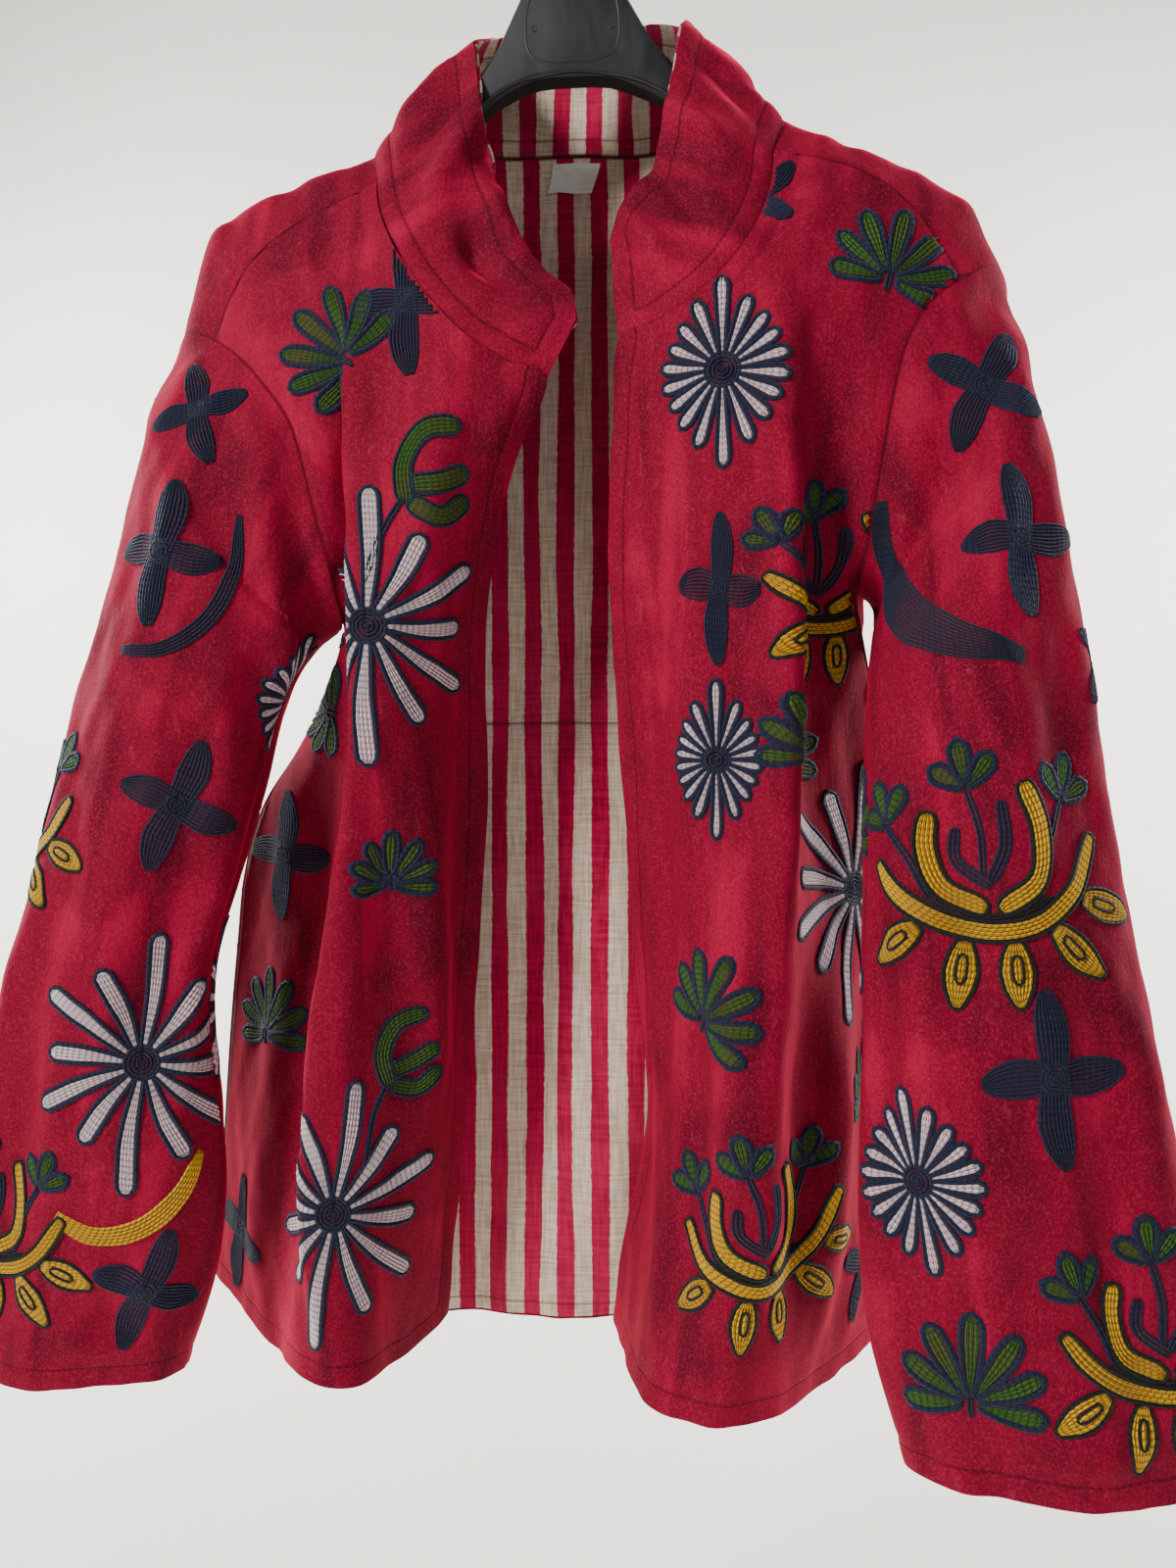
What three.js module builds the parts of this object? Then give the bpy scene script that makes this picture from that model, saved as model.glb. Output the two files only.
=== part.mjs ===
// Suzani jacket on a hanger: hip-length crimson velvet, open front, wide band collar, wide straight sleeves.
// Millimetres, +Z up. The origin is the top of the hook's inner curve, where a rail carries it.
// The front of the garment faces -Y. Right and left are the wearer's: the right side is at -X.
import * as THREE from 'three';

// Cloth

const VELVET = 1.6;
const COTTON = 1.0;
const LAYER_GAP = 0.6;
const SEAM_GAP = 0.3;
const LABEL_TAPE = 0.6;
const LINING_DEPTH = VELVET + LAYER_GAP;
const INSIDE_DEPTH = LINING_DEPTH + COTTON;

// Rows run down each panel and columns run across it

const NECK_ROWS = 7;
const SCYE_FRONT_ROWS = 8;
const SCYE_BACK_ROWS = 10;
const SIDE_ROWS = 10;
const FRONT_COLUMNS = 12;
const SHOULDER_COLUMNS = 6;
const BACK_NECK_COLUMNS = 10;
const COLLAR_ROWS = 4;
const FRONT_ROWS = SCYE_FRONT_ROWS + SIDE_ROWS;
const BACK_ROWS = SCYE_BACK_ROWS + SIDE_ROWS;
const BACK_COLUMNS = 2 * SHOULDER_COLUMNS + BACK_NECK_COLUMNS;
const SLEEVE_COLUMNS = SCYE_FRONT_ROWS + SCYE_BACK_ROWS;

const CROSS_SEAM_ROW = 11;
const HEM_LINING_RISE = 0.45;
const BACK_HEM_LINING_RISE = 0.06;
const EDGE_LINING_INSET = 0.12;
const CROSS_SEAM_PULL = 0.005;

// Seams and edges as they hang, each a curve through its own points

const SEAMS = {
  right: {
    shoulder: [[-105.7, -13, -199], [-129, -15, -211], [-152, -16, -223], [-172, -16, -238],
      [-184, -16, -256], [-195, -15, -283]],
    neckline: [[-105.7, -13, -199], [-100.6, -24, -222], [-80, -40, -262], [-48.5, -45, -298], [-10.5, -35, -317]],
    freeEdge: [[-10.5, -35, -317], [-20.6, -28, -336], [-31, -20, -359], [-40, -10, -388], [-47, 0, -418],
      [-51, 12, -460], [-50.5, 25, -525], [-56.6, 34, -610], [-63.6, 41, -685], [-71, 46, -756], [-79, 50, -838]],
    frontScye: [[-195, -15, -283], [-179, -22, -295], [-165.5, -26, -310], [-152, -29, -326], [-143, -30, -350],
      [-137, -28, -375], [-131, -22, -402], [-128, -12, -425], [-128, 0, -440]],
    backScye: [[-195, -15, -283], [-213, -6, -274], [-224, 8, -274], [-226, 24, -290], [-212, 44, -325],
      [-182, 56, -375], [-152, 42, -422], [-128, 0, -440]],
    side: [[-128, 0, -440], [-139, 15, -464], [-158, 31, -494], [-182, 42, -526], [-198, 47, -555],
      [-206, 52, -600], [-212, 56, -645], [-217, 60, -694], [-223, 66, -758], [-230, 72, -828]],
  },
  left: {
    shoulder: [[107.3, -13, -190], [132, -15, -197], [156, -17, -207], [174, -18, -221], [188, -20, -240],
      [202, -22, -266]],
    neckline: [[107.3, -13, -190], [103, -22, -221], [83, -38, -260], [56, -35, -282], [26, -20, -292]],
    freeEdge: [[26, -20, -292], [22, -14, -343], [20, -6, -390], [21, 2, -445], [24.7, 8, -498],
      [28.7, 14, -552], [32.4, 19, -607], [37, 24, -662], [40, 29, -701], [36.5, 35, -740], [28, 42, -780],
      [20, 50, -838]],
    frontScye: [[202, -22, -266], [184, -30, -281], [173, -34, -300], [165, -36, -330], [160, -34, -360],
      [155, -24, -395], [152, -5, -425]],
    backScye: [[202, -22, -266], [220, -10, -254], [232, 6, -252], [236, 24, -268], [224, 46, -308],
      [197, 58, -362], [172, 46, -405], [152, -5, -425]],
    side: [[152, -5, -425], [158, 8, -450], [165, 18, -480], [172, 28, -520], [177, 36, -570], [179, 43, -640],
      [179, 49, -720], [178, 54, -790], [176, 57, -840]],
  },
  // the back of the neck, from where the shoulder ridge meets it on the right to the same place on the left
  backNeck: [[-109, 2, -174], [-94, 31, -160], [-58, 55, -155], [-8.6, 62, -152], [44, 55, -157],
    [82, 31, -160], [112, 2, -165]],
};

// Folds of the fronts: for some rows, where each column lies across (x) and in depth (y). The sag is how
// far the middle of the row hangs below the straight line between its ends.

const FRONT_FOLD_COLUMNS = { breast: 3, crest: 5, fold: 6, tuck: 7, flank: 9 };

const FRONT_FOLDS = {
  right: [
    { row: 2, sag: 0, breast: [-104, -33], crest: [-112, -35], fold: [-119, -35], tuck: [-124, -31], flank: [-144, -29] },
    { row: 4, sag: 0, breast: [-88, -41], crest: [-104, -40], fold: [-116, -37], tuck: [-118, -29], flank: [-129, -31] },
    { row: 7, sag: 0, breast: [-52, -42], crest: [-95, -43], fold: [-116, -38], tuck: [-114, -20], flank: [-119, -17] },
    { row: 8, sag: 0, breast: [-60, -36], crest: [-95, -43], fold: [-115.5, -38], tuck: [-111, -18], flank: [-119, -15] },
    { row: 10, sag: 0, breast: [-70, -15], crest: [-97, -37], fold: [-115.5, -36], tuck: [-110, -10], flank: [-138, 8] },
    { row: 12, sag: 0, breast: [-74, -2], crest: [-103, -31], fold: [-122, -32], tuck: [-117, -2], flank: [-168, 29] },
    { row: 14, sag: 0, breast: [-83, 5], crest: [-117, -26], fold: [-137, -27], tuck: [-135, 2], flank: [-178, 34] },
    { row: 16, sag: -3, breast: [-89, 10], crest: [-122, -24], fold: [-143, -25], tuck: [-149, -6], flank: [-187, 30] },
    { row: 18, sag: -11, breast: [-96, 18], crest: [-112, -23], fold: [-126, -29], tuck: [-142, -22], flank: [-174, 14] },
  ],
  left: [
    { row: 2, sag: 0, breast: [116, -34], crest: [128, -36], fold: [134, -37], tuck: [140, -37], flank: [153, -36] },
    { row: 4, sag: 0, breast: [92, -42], crest: [108, -45], fold: [116, -45], tuck: [123, -43], flank: [139, -40] },
    { row: 7, sag: 0, breast: [58, -38], crest: [93, -46], fold: [107, -45], tuck: [116, -38], flank: [134, -29] },
    { row: 8, sag: 0, breast: [54, -34], crest: [92, -46], fold: [108, -45], tuck: [117, -35], flank: [134, -22] },
    { row: 10, sag: 0, breast: [50, -26], crest: [90, -44], fold: [109, -45], tuck: [118, -30], flank: [140, -6] },
    { row: 12, sag: 0, breast: [53, -18], crest: [90, -42], fold: [111, -45], tuck: [122, -28], flank: [151, 6] },
    { row: 14, sag: 0, breast: [58, -21], crest: [86, -44], fold: [107, -48], tuck: [121, -32], flank: [155, 9] },
    { row: 16, sag: -2, breast: [52, -17], crest: [78, -44], fold: [98, -50], tuck: [116, -37], flank: [153, 10] },
    { row: 18, sag: -7, breast: [38, -24], crest: [62, -43], fold: [80, -48], tuck: [100, -39], flank: [138, 6] },
  ],
};

// Folds of the back: for some rows, the point of each column

const BACK_FOLD_COLUMNS = {
  tipR: 1, capR: 4, neckR: 7, bladeR: 9, spine: 11, bladeL: 13, neckL: 15, capL: 18, tipL: 21,
};

const BACK_FOLDS = [
  { row: 1, tipR: [-205, 2, -222], capR: [-162, 3, -195], neckR: [-114, 15, -178], bladeR: [-68, 57, -180],
    spine: [-8.6, 66, -178], bladeL: [56, 57, -182], neckL: [117, 15, -170], capL: [165, 3, -190], tipL: [213, 2, -220] },
  { row: 2, tipR: [-208, 26, -240], capR: [-163, 27, -206], neckR: [-118, 38, -200], bladeR: [-70, 62, -208],
    spine: [-8.6, 67, -208], bladeL: [58, 62, -208], neckL: [120, 38, -192], capL: [166, 27, -202], tipL: [216, 26, -238] },
  { row: 4, tipR: [-198, 52, -300], capR: [-158, 59, -275], neckR: [-116, 63, -264], bladeR: [-66, 66, -262],
    spine: [-8.6, 67, -262], bladeL: [52, 66, -262], neckL: [114, 62, -262], capL: [162, 59, -270], tipL: [208, 52, -296] },
  { row: 7, tipR: [-152, 62, -380], capR: [-128, 67, -370], neckR: [-100, 64, -365], bladeR: [-55, 69, -362],
    spine: [-8.6, 65, -362], bladeL: [40, 69, -362], neckL: [95, 64, -364], capL: [138, 65, -370], tipL: [176, 58, -382] },
  { row: 10, tipR: [-131, 30, -452], capR: [-132, 54, -450], neckR: [-100, 66, -448], bladeR: [-55, 64, -450],
    spine: [-8.6, 70, -450], bladeL: [38, 65, -450], neckL: [90, 69, -448], capL: [148, 48, -446], tipL: [156, 15, -440] },
  { row: 12, tipR: [-173, 52, -520], capR: [-143, 66, -525], neckR: [-100, 64, -528], bladeR: [-55, 69, -530],
    spine: [-8.6, 65, -530], bladeL: [36, 71, -530], neckL: [86, 65, -528], capL: [136, 67, -520], tipL: [166, 42, -512] },
  { row: 15, tipR: [-198, 66, -636], capR: [-150, 71, -644], neckR: [-104, 64, -648], bladeR: [-58, 69, -648],
    spine: [-10, 64, -648], bladeL: [36, 72, -648], neckL: [84, 65, -648], capL: [134, 73, -644], tipL: [171, 58, -636] },
  { row: 18, tipR: [-206, 77, -755], capR: [-161, 74, -764], neckR: [-108, 65, -767], bladeR: [-60, 71, -767],
    spine: [-12, 64, -767], bladeL: [34, 74, -767], neckL: [84, 65, -767], capL: [135, 76, -765], tipL: [172, 64, -760] },
  { row: 20, tipR: [-213, 84, -836], capR: [-168, 78, -843], neckR: [-112, 67, -846], bladeR: [-62, 74, -846],
    spine: [-14, 66, -846], bladeL: [34, 75, -846], neckL: [84, 67, -846], capL: [137, 79, -845], tipL: [170, 70, -842] },
];

// Sleeves: for each ring its outer and inner side, the depth (y) of its middle, and its own depth

const SLEEVE_RINGS = {
  right: [
    { outerX: -233, outerZ: -303, innerX: -145, innerZ: -448, middleY: 10, depth: 92 },
    { outerX: -239, outerZ: -336, innerX: -150, innerZ: -456, middleY: 5, depth: 94 },
    { outerX: -247, outerZ: -372, innerX: -153, innerZ: -462, middleY: 1, depth: 94 },
    { outerX: -257, outerZ: -412, innerX: -157, innerZ: -473, middleY: -4, depth: 92 },
    { outerX: -267, outerZ: -452, innerX: -163, innerZ: -492, middleY: -8, depth: 90 },
    { outerX: -277, outerZ: -492, innerX: -168, innerZ: -517, middleY: -11, depth: 87 },
    { outerX: -286, outerZ: -533, innerX: -175, innerZ: -546, middleY: -13, depth: 84 },
    { outerX: -295, outerZ: -575, innerX: -184, innerZ: -581, middleY: -14, depth: 81 },
    { outerX: -305, outerZ: -618, innerX: -195, innerZ: -620, middleY: -15, depth: 79 },
    { outerX: -313, outerZ: -659, innerX: -197, innerZ: -659, middleY: -15, depth: 77 },
    { outerX: -322, outerZ: -701, innerX: -192, innerZ: -700, middleY: -15, depth: 75 },
    { outerX: -330, outerZ: -745, innerX: -189, innerZ: -744, middleY: -14, depth: 73 },
    { outerX: -338, outerZ: -792, innerX: -195, innerZ: -792, middleY: -12, depth: 71 },
    { outerX: -345, outerZ: -845, innerX: -212, innerZ: -844, middleY: -10, depth: 69 },
  ],
  left: [
    { outerX: 237, outerZ: -284, innerX: 163, innerZ: -430, middleY: 8, depth: 94 },
    { outerX: 240, outerZ: -317, innerX: 162, innerZ: -437, middleY: -2, depth: 98 },
    { outerX: 244, outerZ: -352, innerX: 159, innerZ: -446, middleY: -12, depth: 99 },
    { outerX: 248, outerZ: -390, innerX: 156, innerZ: -459, middleY: -22, depth: 98 },
    { outerX: 252, outerZ: -430, innerX: 153, innerZ: -478, middleY: -31, depth: 96 },
    { outerX: 257, outerZ: -470, innerX: 151, innerZ: -503, middleY: -38, depth: 93 },
    { outerX: 262, outerZ: -512, innerX: 151, innerZ: -534, middleY: -43, depth: 90 },
    { outerX: 269, outerZ: -555, innerX: 150, innerZ: -570, middleY: -47, depth: 87 },
    { outerX: 277, outerZ: -600, innerX: 148, innerZ: -609, middleY: -50, depth: 85 },
    { outerX: 285, outerZ: -645, innerX: 147, innerZ: -650, middleY: -53, depth: 83 },
    { outerX: 293, outerZ: -691, innerX: 145, innerZ: -693, middleY: -55, depth: 81 },
    { outerX: 300, outerZ: -739, innerX: 144, innerZ: -739, middleY: -57, depth: 79 },
    { outerX: 306, outerZ: -790, innerX: 148, innerZ: -789, middleY: -59, depth: 77 },
    { outerX: 312, outerZ: -852, innerX: 165, innerZ: -850, middleY: -60, depth: 75 },
  ],
};

// Long soft creases down the sleeves: their place round the ring in turns from the underarm, and their depth

const CREASE_FADE = 0.25;
const SLEEVE_CREASES = [
  { turn: 0.17, depth: 5, width: 0.07, from: 0.2 },
  { turn: 0.36, depth: 7, width: 0.08, from: 0.1 },
  { turn: 0.68, depth: 6, width: 0.09, from: 0.15 },
  { turn: 0.88, depth: 5, width: 0.07, from: 0.3 },
];

// Collar: stations along the neckline from the right end round the back to the left end, with the middle of
// the band and its free edge

const COLLAR_STATIONS = [
  { column: 0, middle: [-3, -38, -303], edge: [5, -37, -288] },
  { column: 2, middle: [-22, -41, -283], edge: [0, -31, -267] },
  { column: 4, middle: [-54, -35, -249], edge: [-27, -23, -241] },
  { column: 7, middle: [-80, -19, -180], edge: [-49, -14, -160] },
  { column: 8, middle: [-84, 1, -146], edge: [-54, -2, -124] },
  { column: 9, middle: [-82, 24, -130], edge: [-57, 20, -106] },
  { column: 10, middle: [-69, 45, -120], edge: [-51, 42, -90] },
  { column: 11, middle: [-41, 60, -117], edge: [-32, 58, -82] },
  { column: 12, middle: [-8.6, 66, -116], edge: [-8.6, 65, -79] },
  { column: 13, middle: [26, 61, -117], edge: [20, 59, -82] },
  { column: 14, middle: [60, 46, -120], edge: [47, 43, -87] },
  { column: 15, middle: [85, 24, -131], edge: [65, 24, -103] },
  { column: 16, middle: [88, 1, -139], edge: [60, -2, -114] },
  { column: 17, middle: [84, -18, -170], edge: [54, -14, -150] },
  { column: 20, middle: [64, -29, -226], edge: [43, -15, -196] },
  { column: 22, middle: [44, -26, -247], edge: [30, -13, -214] },
  { column: 24, middle: [23, -19, -264], edge: [20.6, -12, -236] },
];

const COLLAR_COLUMNS = 2 * NECK_ROWS + BACK_NECK_COLUMNS;

// Care label, in rows and columns of the back

const LABEL = { topRow: 0.12, bottomRow: 0.8, firstColumn: 10.6, lastColumn: 11.45 };

// Hanger. Past the neck its arms' top edges follow the shoulders from below.

const HANGER_MIDDLE = [
  { x: -128, top: -200, bottom: -224, half: 5, slope: 12 },
  { x: -104, top: -194, bottom: -216, half: 5.5, slope: 10 },
  { x: -84, top: -176, bottom: -198, half: 6, slope: 9 },
  { x: -66, top: -155, bottom: -178, half: 6.5, slope: 8 },
  { x: -52, top: -138, bottom: -162, half: 7, slope: 7 },
  { x: -40, top: -121, bottom: -152, half: 7.5, slope: 6 },
  { x: -29, top: -98, bottom: -146, half: 8, slope: 5 },
  { x: -20, top: -72, bottom: -143, half: 8, slope: 4 },
  { x: -10, top: -57, bottom: -142, half: 8, slope: 3 },
  { x: 10, top: -57, bottom: -142, half: 8, slope: 3 },
  { x: 20, top: -72, bottom: -143, half: 8, slope: 4 },
  { x: 29, top: -98, bottom: -146, half: 8, slope: 5 },
  { x: 42, top: -121, bottom: -152, half: 7.5, slope: 6 },
  { x: 56, top: -137, bottom: -161, half: 7, slope: 7 },
  { x: 70, top: -152, bottom: -175, half: 6.5, slope: 8 },
  { x: 88, top: -169, bottom: -191, half: 6, slope: 9 },
  { x: 106, top: -184, bottom: -206, half: 5.5, slope: 10 },
  { x: 130, top: -192, bottom: -216, half: 5, slope: 12 },
];
const HANGER_ARM = { height: 27, half: 4.5, slope: 17, ridgeHalf: 1.4, ridgeDrop: 5 };
const HANGER_RIGHT_COLUMNS = [2, 3, 4];
const HANGER_LEFT_COLUMNS = [18, 19, 20];
const HANGER_RIDGE = { halfShare: 0.6, slopeShare: 0.3 };
const HANGER_FOOT = 2.5;
const HANGER_TIP = { share: 0.6, reach: 3.5, drop: 5 };
const HANGER_TOP = -57;
const HANGER_Y = 2;

const HOOK_INNER_RADIUS = 16;
const HOOK_WIRE = 3.6;
const HOOK_TIP_TURN = -0.45;
const HOOK_START_TURN = Math.PI * 1.12;
const HOOK_ARC_POINTS = 10;
const HOOK_RINGS = 28;
const HOOK_CURVE_SEGMENTS = 4;
// the shank's path from the body's top: across and up
const HOOK_SHANK = [[0, 0], [0, 6], [0, 12], [-4, 19], [-11, 24]];

// Cubic curve through values at uneven knots

function splineAt(knots, points, t) {
  let i = 0;
  while (i < knots.length - 2 && t > knots[i + 1]) {
    i += 1;
  }
  const span = knots[i + 1] - knots[i];
  const u = (t - knots[i]) / span;
  const slopeAt = (k) => {
    const a = Math.max(0, k - 1);
    const b = Math.min(knots.length - 1, k + 1);
    return points[b].clone().sub(points[a]).divideScalar(knots[b] - knots[a]);
  };
  const start = slopeAt(i).multiplyScalar(span);
  const end = slopeAt(i + 1).multiplyScalar(span);
  const u2 = u * u;
  const u3 = u2 * u;
  return points[i].clone().multiplyScalar(2 * u3 - 3 * u2 + 1)
    .addScaledVector(start, u3 - 2 * u2 + u)
    .addScaledVector(points[i + 1], 3 * u2 - 2 * u3)
    .addScaledVector(end, u3 - u2);
}

const vector = ([x, y, z]) => new THREE.Vector3(x, y, z);

// Evenly spaced points along a seam

function alongSeam(points, steps) {
  const curve = new THREE.CatmullRomCurve3(points.map(vector), false, 'centripetal');
  return curve.getSpacedPoints(steps);
}

// The back of the neckline, from one shoulder seam over the ridge and round to the other

function backNeckSeam() {
  const ends = [SEAMS.right.neckline[0], SEAMS.left.neckline[0]].map(vector);
  return [ends[0], ...alongSeam(SEAMS.backNeck, BACK_NECK_COLUMNS - 2), ends[1]];
}

// The shoulder seam is straight between its stitches' columns, so that both panels meet it alike

function shoulderSeam(points, columns) {
  const corners = alongSeam(points, SHOULDER_COLUMNS);
  return Array.from({ length: columns + 1 }, (_, j) => {
    const t = (j / columns) * SHOULDER_COLUMNS;
    const k = Math.min(SHOULDER_COLUMNS - 1, Math.floor(t));
    return corners[k].clone().lerp(corners[k + 1], t - k);
  });
}

// A panel: its outer surface as rows of points, with the outward normal at each

function makePanel(points, outward, cyclic = false) {
  const rows = points.length;
  const columns = points[0].length;
  const normals = points.map((row) => row.map(() => new THREE.Vector3()));
  const lastColumn = cyclic ? columns : columns - 1;
  const across = new THREE.Vector3();
  const down = new THREE.Vector3();
  for (let i = 0; i < rows - 1; i += 1) {
    for (let j = 0; j < lastColumn; j += 1) {
      const k = (j + 1) % columns;
      across.subVectors(points[i][k], points[i][j]).add(points[i + 1][k]).sub(points[i + 1][j]);
      down.subVectors(points[i + 1][j], points[i][j]).add(points[i + 1][k]).sub(points[i][k]);
      const face = new THREE.Vector3().crossVectors(across, down).normalize().multiplyScalar(outward);
      normals[i][j].add(face);
      normals[i][k].add(face);
      normals[i + 1][j].add(face);
      normals[i + 1][k].add(face);
    }
  }
  normals.forEach((row) => row.forEach((normal) => normal.normalize()));
  return { points, normals, cyclic };
}

// Panels that share a seam share its normals too, so their walls meet face to face

function shareSeamNormals(panels) {
  const sums = new Map();
  const keyOf = (p) => [p.x, p.y, p.z].map((value) => value.toFixed(2)).join(',');
  const visit = (each) => panels.forEach((panel) => {
    panel.points.forEach((row, i) => row.forEach((point, j) => each(keyOf(point), panel.normals[i], j)));
  });
  visit((key, row, j) => {
    const sum = sums.get(key) ?? new THREE.Vector3();
    sums.set(key, sum.add(row[j]));
  });
  visit((key, row, j) => {
    row[j] = sums.get(key).clone().normalize();
  });
}

// A front has two columns to each one of the back along the shoulder: those between take the mean normal

function easeShoulderNormals(front) {
  const [top] = front.normals;
  for (let j = 1; j < FRONT_COLUMNS; j += 2) {
    top[j] = top[j - 1].clone().add(top[j + 1]).normalize();
  }
}

// Draws a panel's seams in by half the gap, each point towards its neighbour

function drawInSeams({ points, cyclic }) {
  const drawTowards = (point, neighbour) => {
    const step = neighbour.clone().sub(point).setLength(SEAM_GAP / 2);
    point.add(step);
  };
  points[0].forEach((point, j) => drawTowards(point, points[1][j]));
  if (!cyclic) {
    points.forEach((row) => {
      drawTowards(row[0], row[1]);
      drawTowards(row.at(-1), row.at(-2));
    });
  }
}

// The panel's point at a fractional row and column, moved in by a depth

function insidePoint(panel, row, column, depth) {
  const { points, normals, cyclic } = panel;
  const count = points[0].length;
  const i = Math.min(points.length - 2, Math.floor(row));
  const j = cyclic ? Math.floor(column) : Math.min(count - 2, Math.floor(column));
  const k = (j + 1) % count;
  const u = row - i;
  const v = column - j;
  const blend = (grid) => grid[i][j].clone().lerp(grid[i][k], v)
    .lerp(grid[i + 1][j].clone().lerp(grid[i + 1][k], v), u);
  return blend(points).addScaledVector(blend(normals), -depth);
}

// Whole rows or columns from one to another, with the ends drawn in by a share of a step

function steps(from, to, insetFrom, insetTo) {
  const list = [from + insetFrom];
  for (let k = Math.floor(from) + 1; k < to; k += 1) {
    list.push(k);
  }
  list.push(to - insetTo);
  return list;
}

// A closed wall of cloth between two depths below a panel's surface

function wallGeometry(panel, rows, columns, outerDepth, innerDepth) {
  const width = columns.length;
  const vertices = [];
  const indices = [];
  for (const depth of [outerDepth, innerDepth]) {
    for (const row of rows) {
      for (const column of columns) {
        vertices.push(...insidePoint(panel, row, column, depth).toArray());
      }
    }
  }
  const layer = rows.length * width;
  const at = (i, j, inner) => inner * layer + i * width + (j % width);
  const quad = (a, b, c, d) => indices.push(a, b, c, a, c, d);
  const lastColumn = panel.cyclic ? width : width - 1;
  for (let j = 0; j < lastColumn; j += 1) {
    for (let i = 0; i < rows.length - 1; i += 1) {
      quad(at(i, j, 0), at(i, j + 1, 0), at(i + 1, j + 1, 0), at(i + 1, j, 0));
      quad(at(i, j, 1), at(i + 1, j, 1), at(i + 1, j + 1, 1), at(i, j + 1, 1));
    }
    const last = rows.length - 1;
    quad(at(0, j, 0), at(0, j, 1), at(0, j + 1, 1), at(0, j + 1, 0));
    quad(at(last, j, 0), at(last, j + 1, 0), at(last, j + 1, 1), at(last, j, 1));
  }
  for (let i = 0; i < rows.length - 1 && !panel.cyclic; i += 1) {
    const last = width - 1;
    quad(at(i, 0, 0), at(i + 1, 0, 0), at(i + 1, 0, 1), at(i, 0, 1));
    quad(at(i, last, 0), at(i, last, 1), at(i + 1, last, 1), at(i + 1, last, 0));
  }
  return closedGeometry(vertices, indices);
}

// A closed geometry with its faces turned outwards

function closedGeometry(vertices, indices) {
  const corner = (k) => new THREE.Vector3().fromArray(vertices, 3 * indices[k]);
  let volume = 0;
  for (let k = 0; k < indices.length; k += 3) {
    volume += corner(k).dot(corner(k + 1).cross(corner(k + 2)));
  }
  const faces = volume > 0 ? indices : indices.slice().reverse();
  const geometry = new THREE.BufferGeometry();
  geometry.setAttribute('position', new THREE.Float32BufferAttribute(vertices, 3));
  geometry.setIndex(faces);
  geometry.computeVertexNormals();
  return geometry;
}

// Fronts

function frontPanel(side, outward) {
  const seams = SEAMS[side];
  const neckline = alongSeam(seams.neckline, NECK_ROWS);
  const freeEdge = alongSeam(seams.freeEdge, FRONT_ROWS - NECK_ROWS);
  const scye = alongSeam(seams.frontScye, SCYE_FRONT_ROWS);
  const sideSeam = alongSeam(seams.side, SIDE_ROWS);
  const shoulder = shoulderSeam(seams.shoulder, FRONT_COLUMNS);
  const edge = [...neckline.slice(0, -1), ...freeEdge];
  const outer = [...scye.slice(0, -1), ...sideSeam];
  const names = Object.keys(FRONT_FOLD_COLUMNS);
  const columnKnots = [0, ...Object.values(FRONT_FOLD_COLUMNS), FRONT_COLUMNS];
  const rowKnots = [0, ...FRONT_FOLDS[side].map((fold) => fold.row)];
  const foldPoint = (fold, name) => {
    const [x, y] = fold[name];
    const share = FRONT_FOLD_COLUMNS[name] / FRONT_COLUMNS;
    const z = THREE.MathUtils.lerp(edge[fold.row].z, outer[fold.row].z, share) + fold.sag;
    return new THREE.Vector3(x, y, z);
  };
  const lines = names.map((name) => [shoulder[FRONT_FOLD_COLUMNS[name]],
    ...FRONT_FOLDS[side].map((fold) => foldPoint(fold, name))]);
  const rows = edge.map((start, i) => {
    const knots = [start, ...lines.map((line) => splineAt(rowKnots, line, i)), outer[i]];
    return Array.from({ length: FRONT_COLUMNS + 1 }, (_, j) => splineAt(columnKnots, knots, j));
  });
  rows[0] = shoulder;
  return makePanel(rows, outward);
}

// Back, with its columns from the right side to the left

function backPanel() {
  const outerEdge = (side) => [
    ...alongSeam(SEAMS[side].backScye, SCYE_BACK_ROWS).slice(0, -1),
    ...alongSeam(SEAMS[side].side, SIDE_ROWS),
  ];
  const right = outerEdge('right');
  const left = outerEdge('left');
  const top = [
    ...shoulderSeam(SEAMS.right.shoulder, SHOULDER_COLUMNS).reverse().slice(0, -1),
    ...backNeckSeam(),
    ...shoulderSeam(SEAMS.left.shoulder, SHOULDER_COLUMNS).slice(1),
  ];
  const names = Object.keys(BACK_FOLD_COLUMNS);
  const columnKnots = [0, ...Object.values(BACK_FOLD_COLUMNS), BACK_COLUMNS];
  const rowKnots = [0, ...BACK_FOLDS.map((fold) => fold.row)];
  const lines = names.map((name) => [top[BACK_FOLD_COLUMNS[name]], ...BACK_FOLDS.map((fold) => vector(fold[name]))]);
  const rows = right.map((start, i) => {
    const knots = [start, ...lines.map((line) => splineAt(rowKnots, line, i)), left[i]];
    return Array.from({ length: BACK_COLUMNS + 1 }, (_, j) => splineAt(columnKnots, knots, j));
  });
  rows[0] = top;
  return makePanel(rows, 1);
}

// Sleeves: rings from the armhole to the cuff, each starting at the underarm seam and running over the front

function creaseDepth(turn, share) {
  return SLEEVE_CREASES.reduce((sum, crease) => {
    const offset = Math.abs(turn - crease.turn) / crease.width;
    const fade = THREE.MathUtils.smoothstep(share, crease.from, crease.from + CREASE_FADE);
    return sum + crease.depth * fade * Math.exp(-offset * offset);
  }, 0);
}

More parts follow.
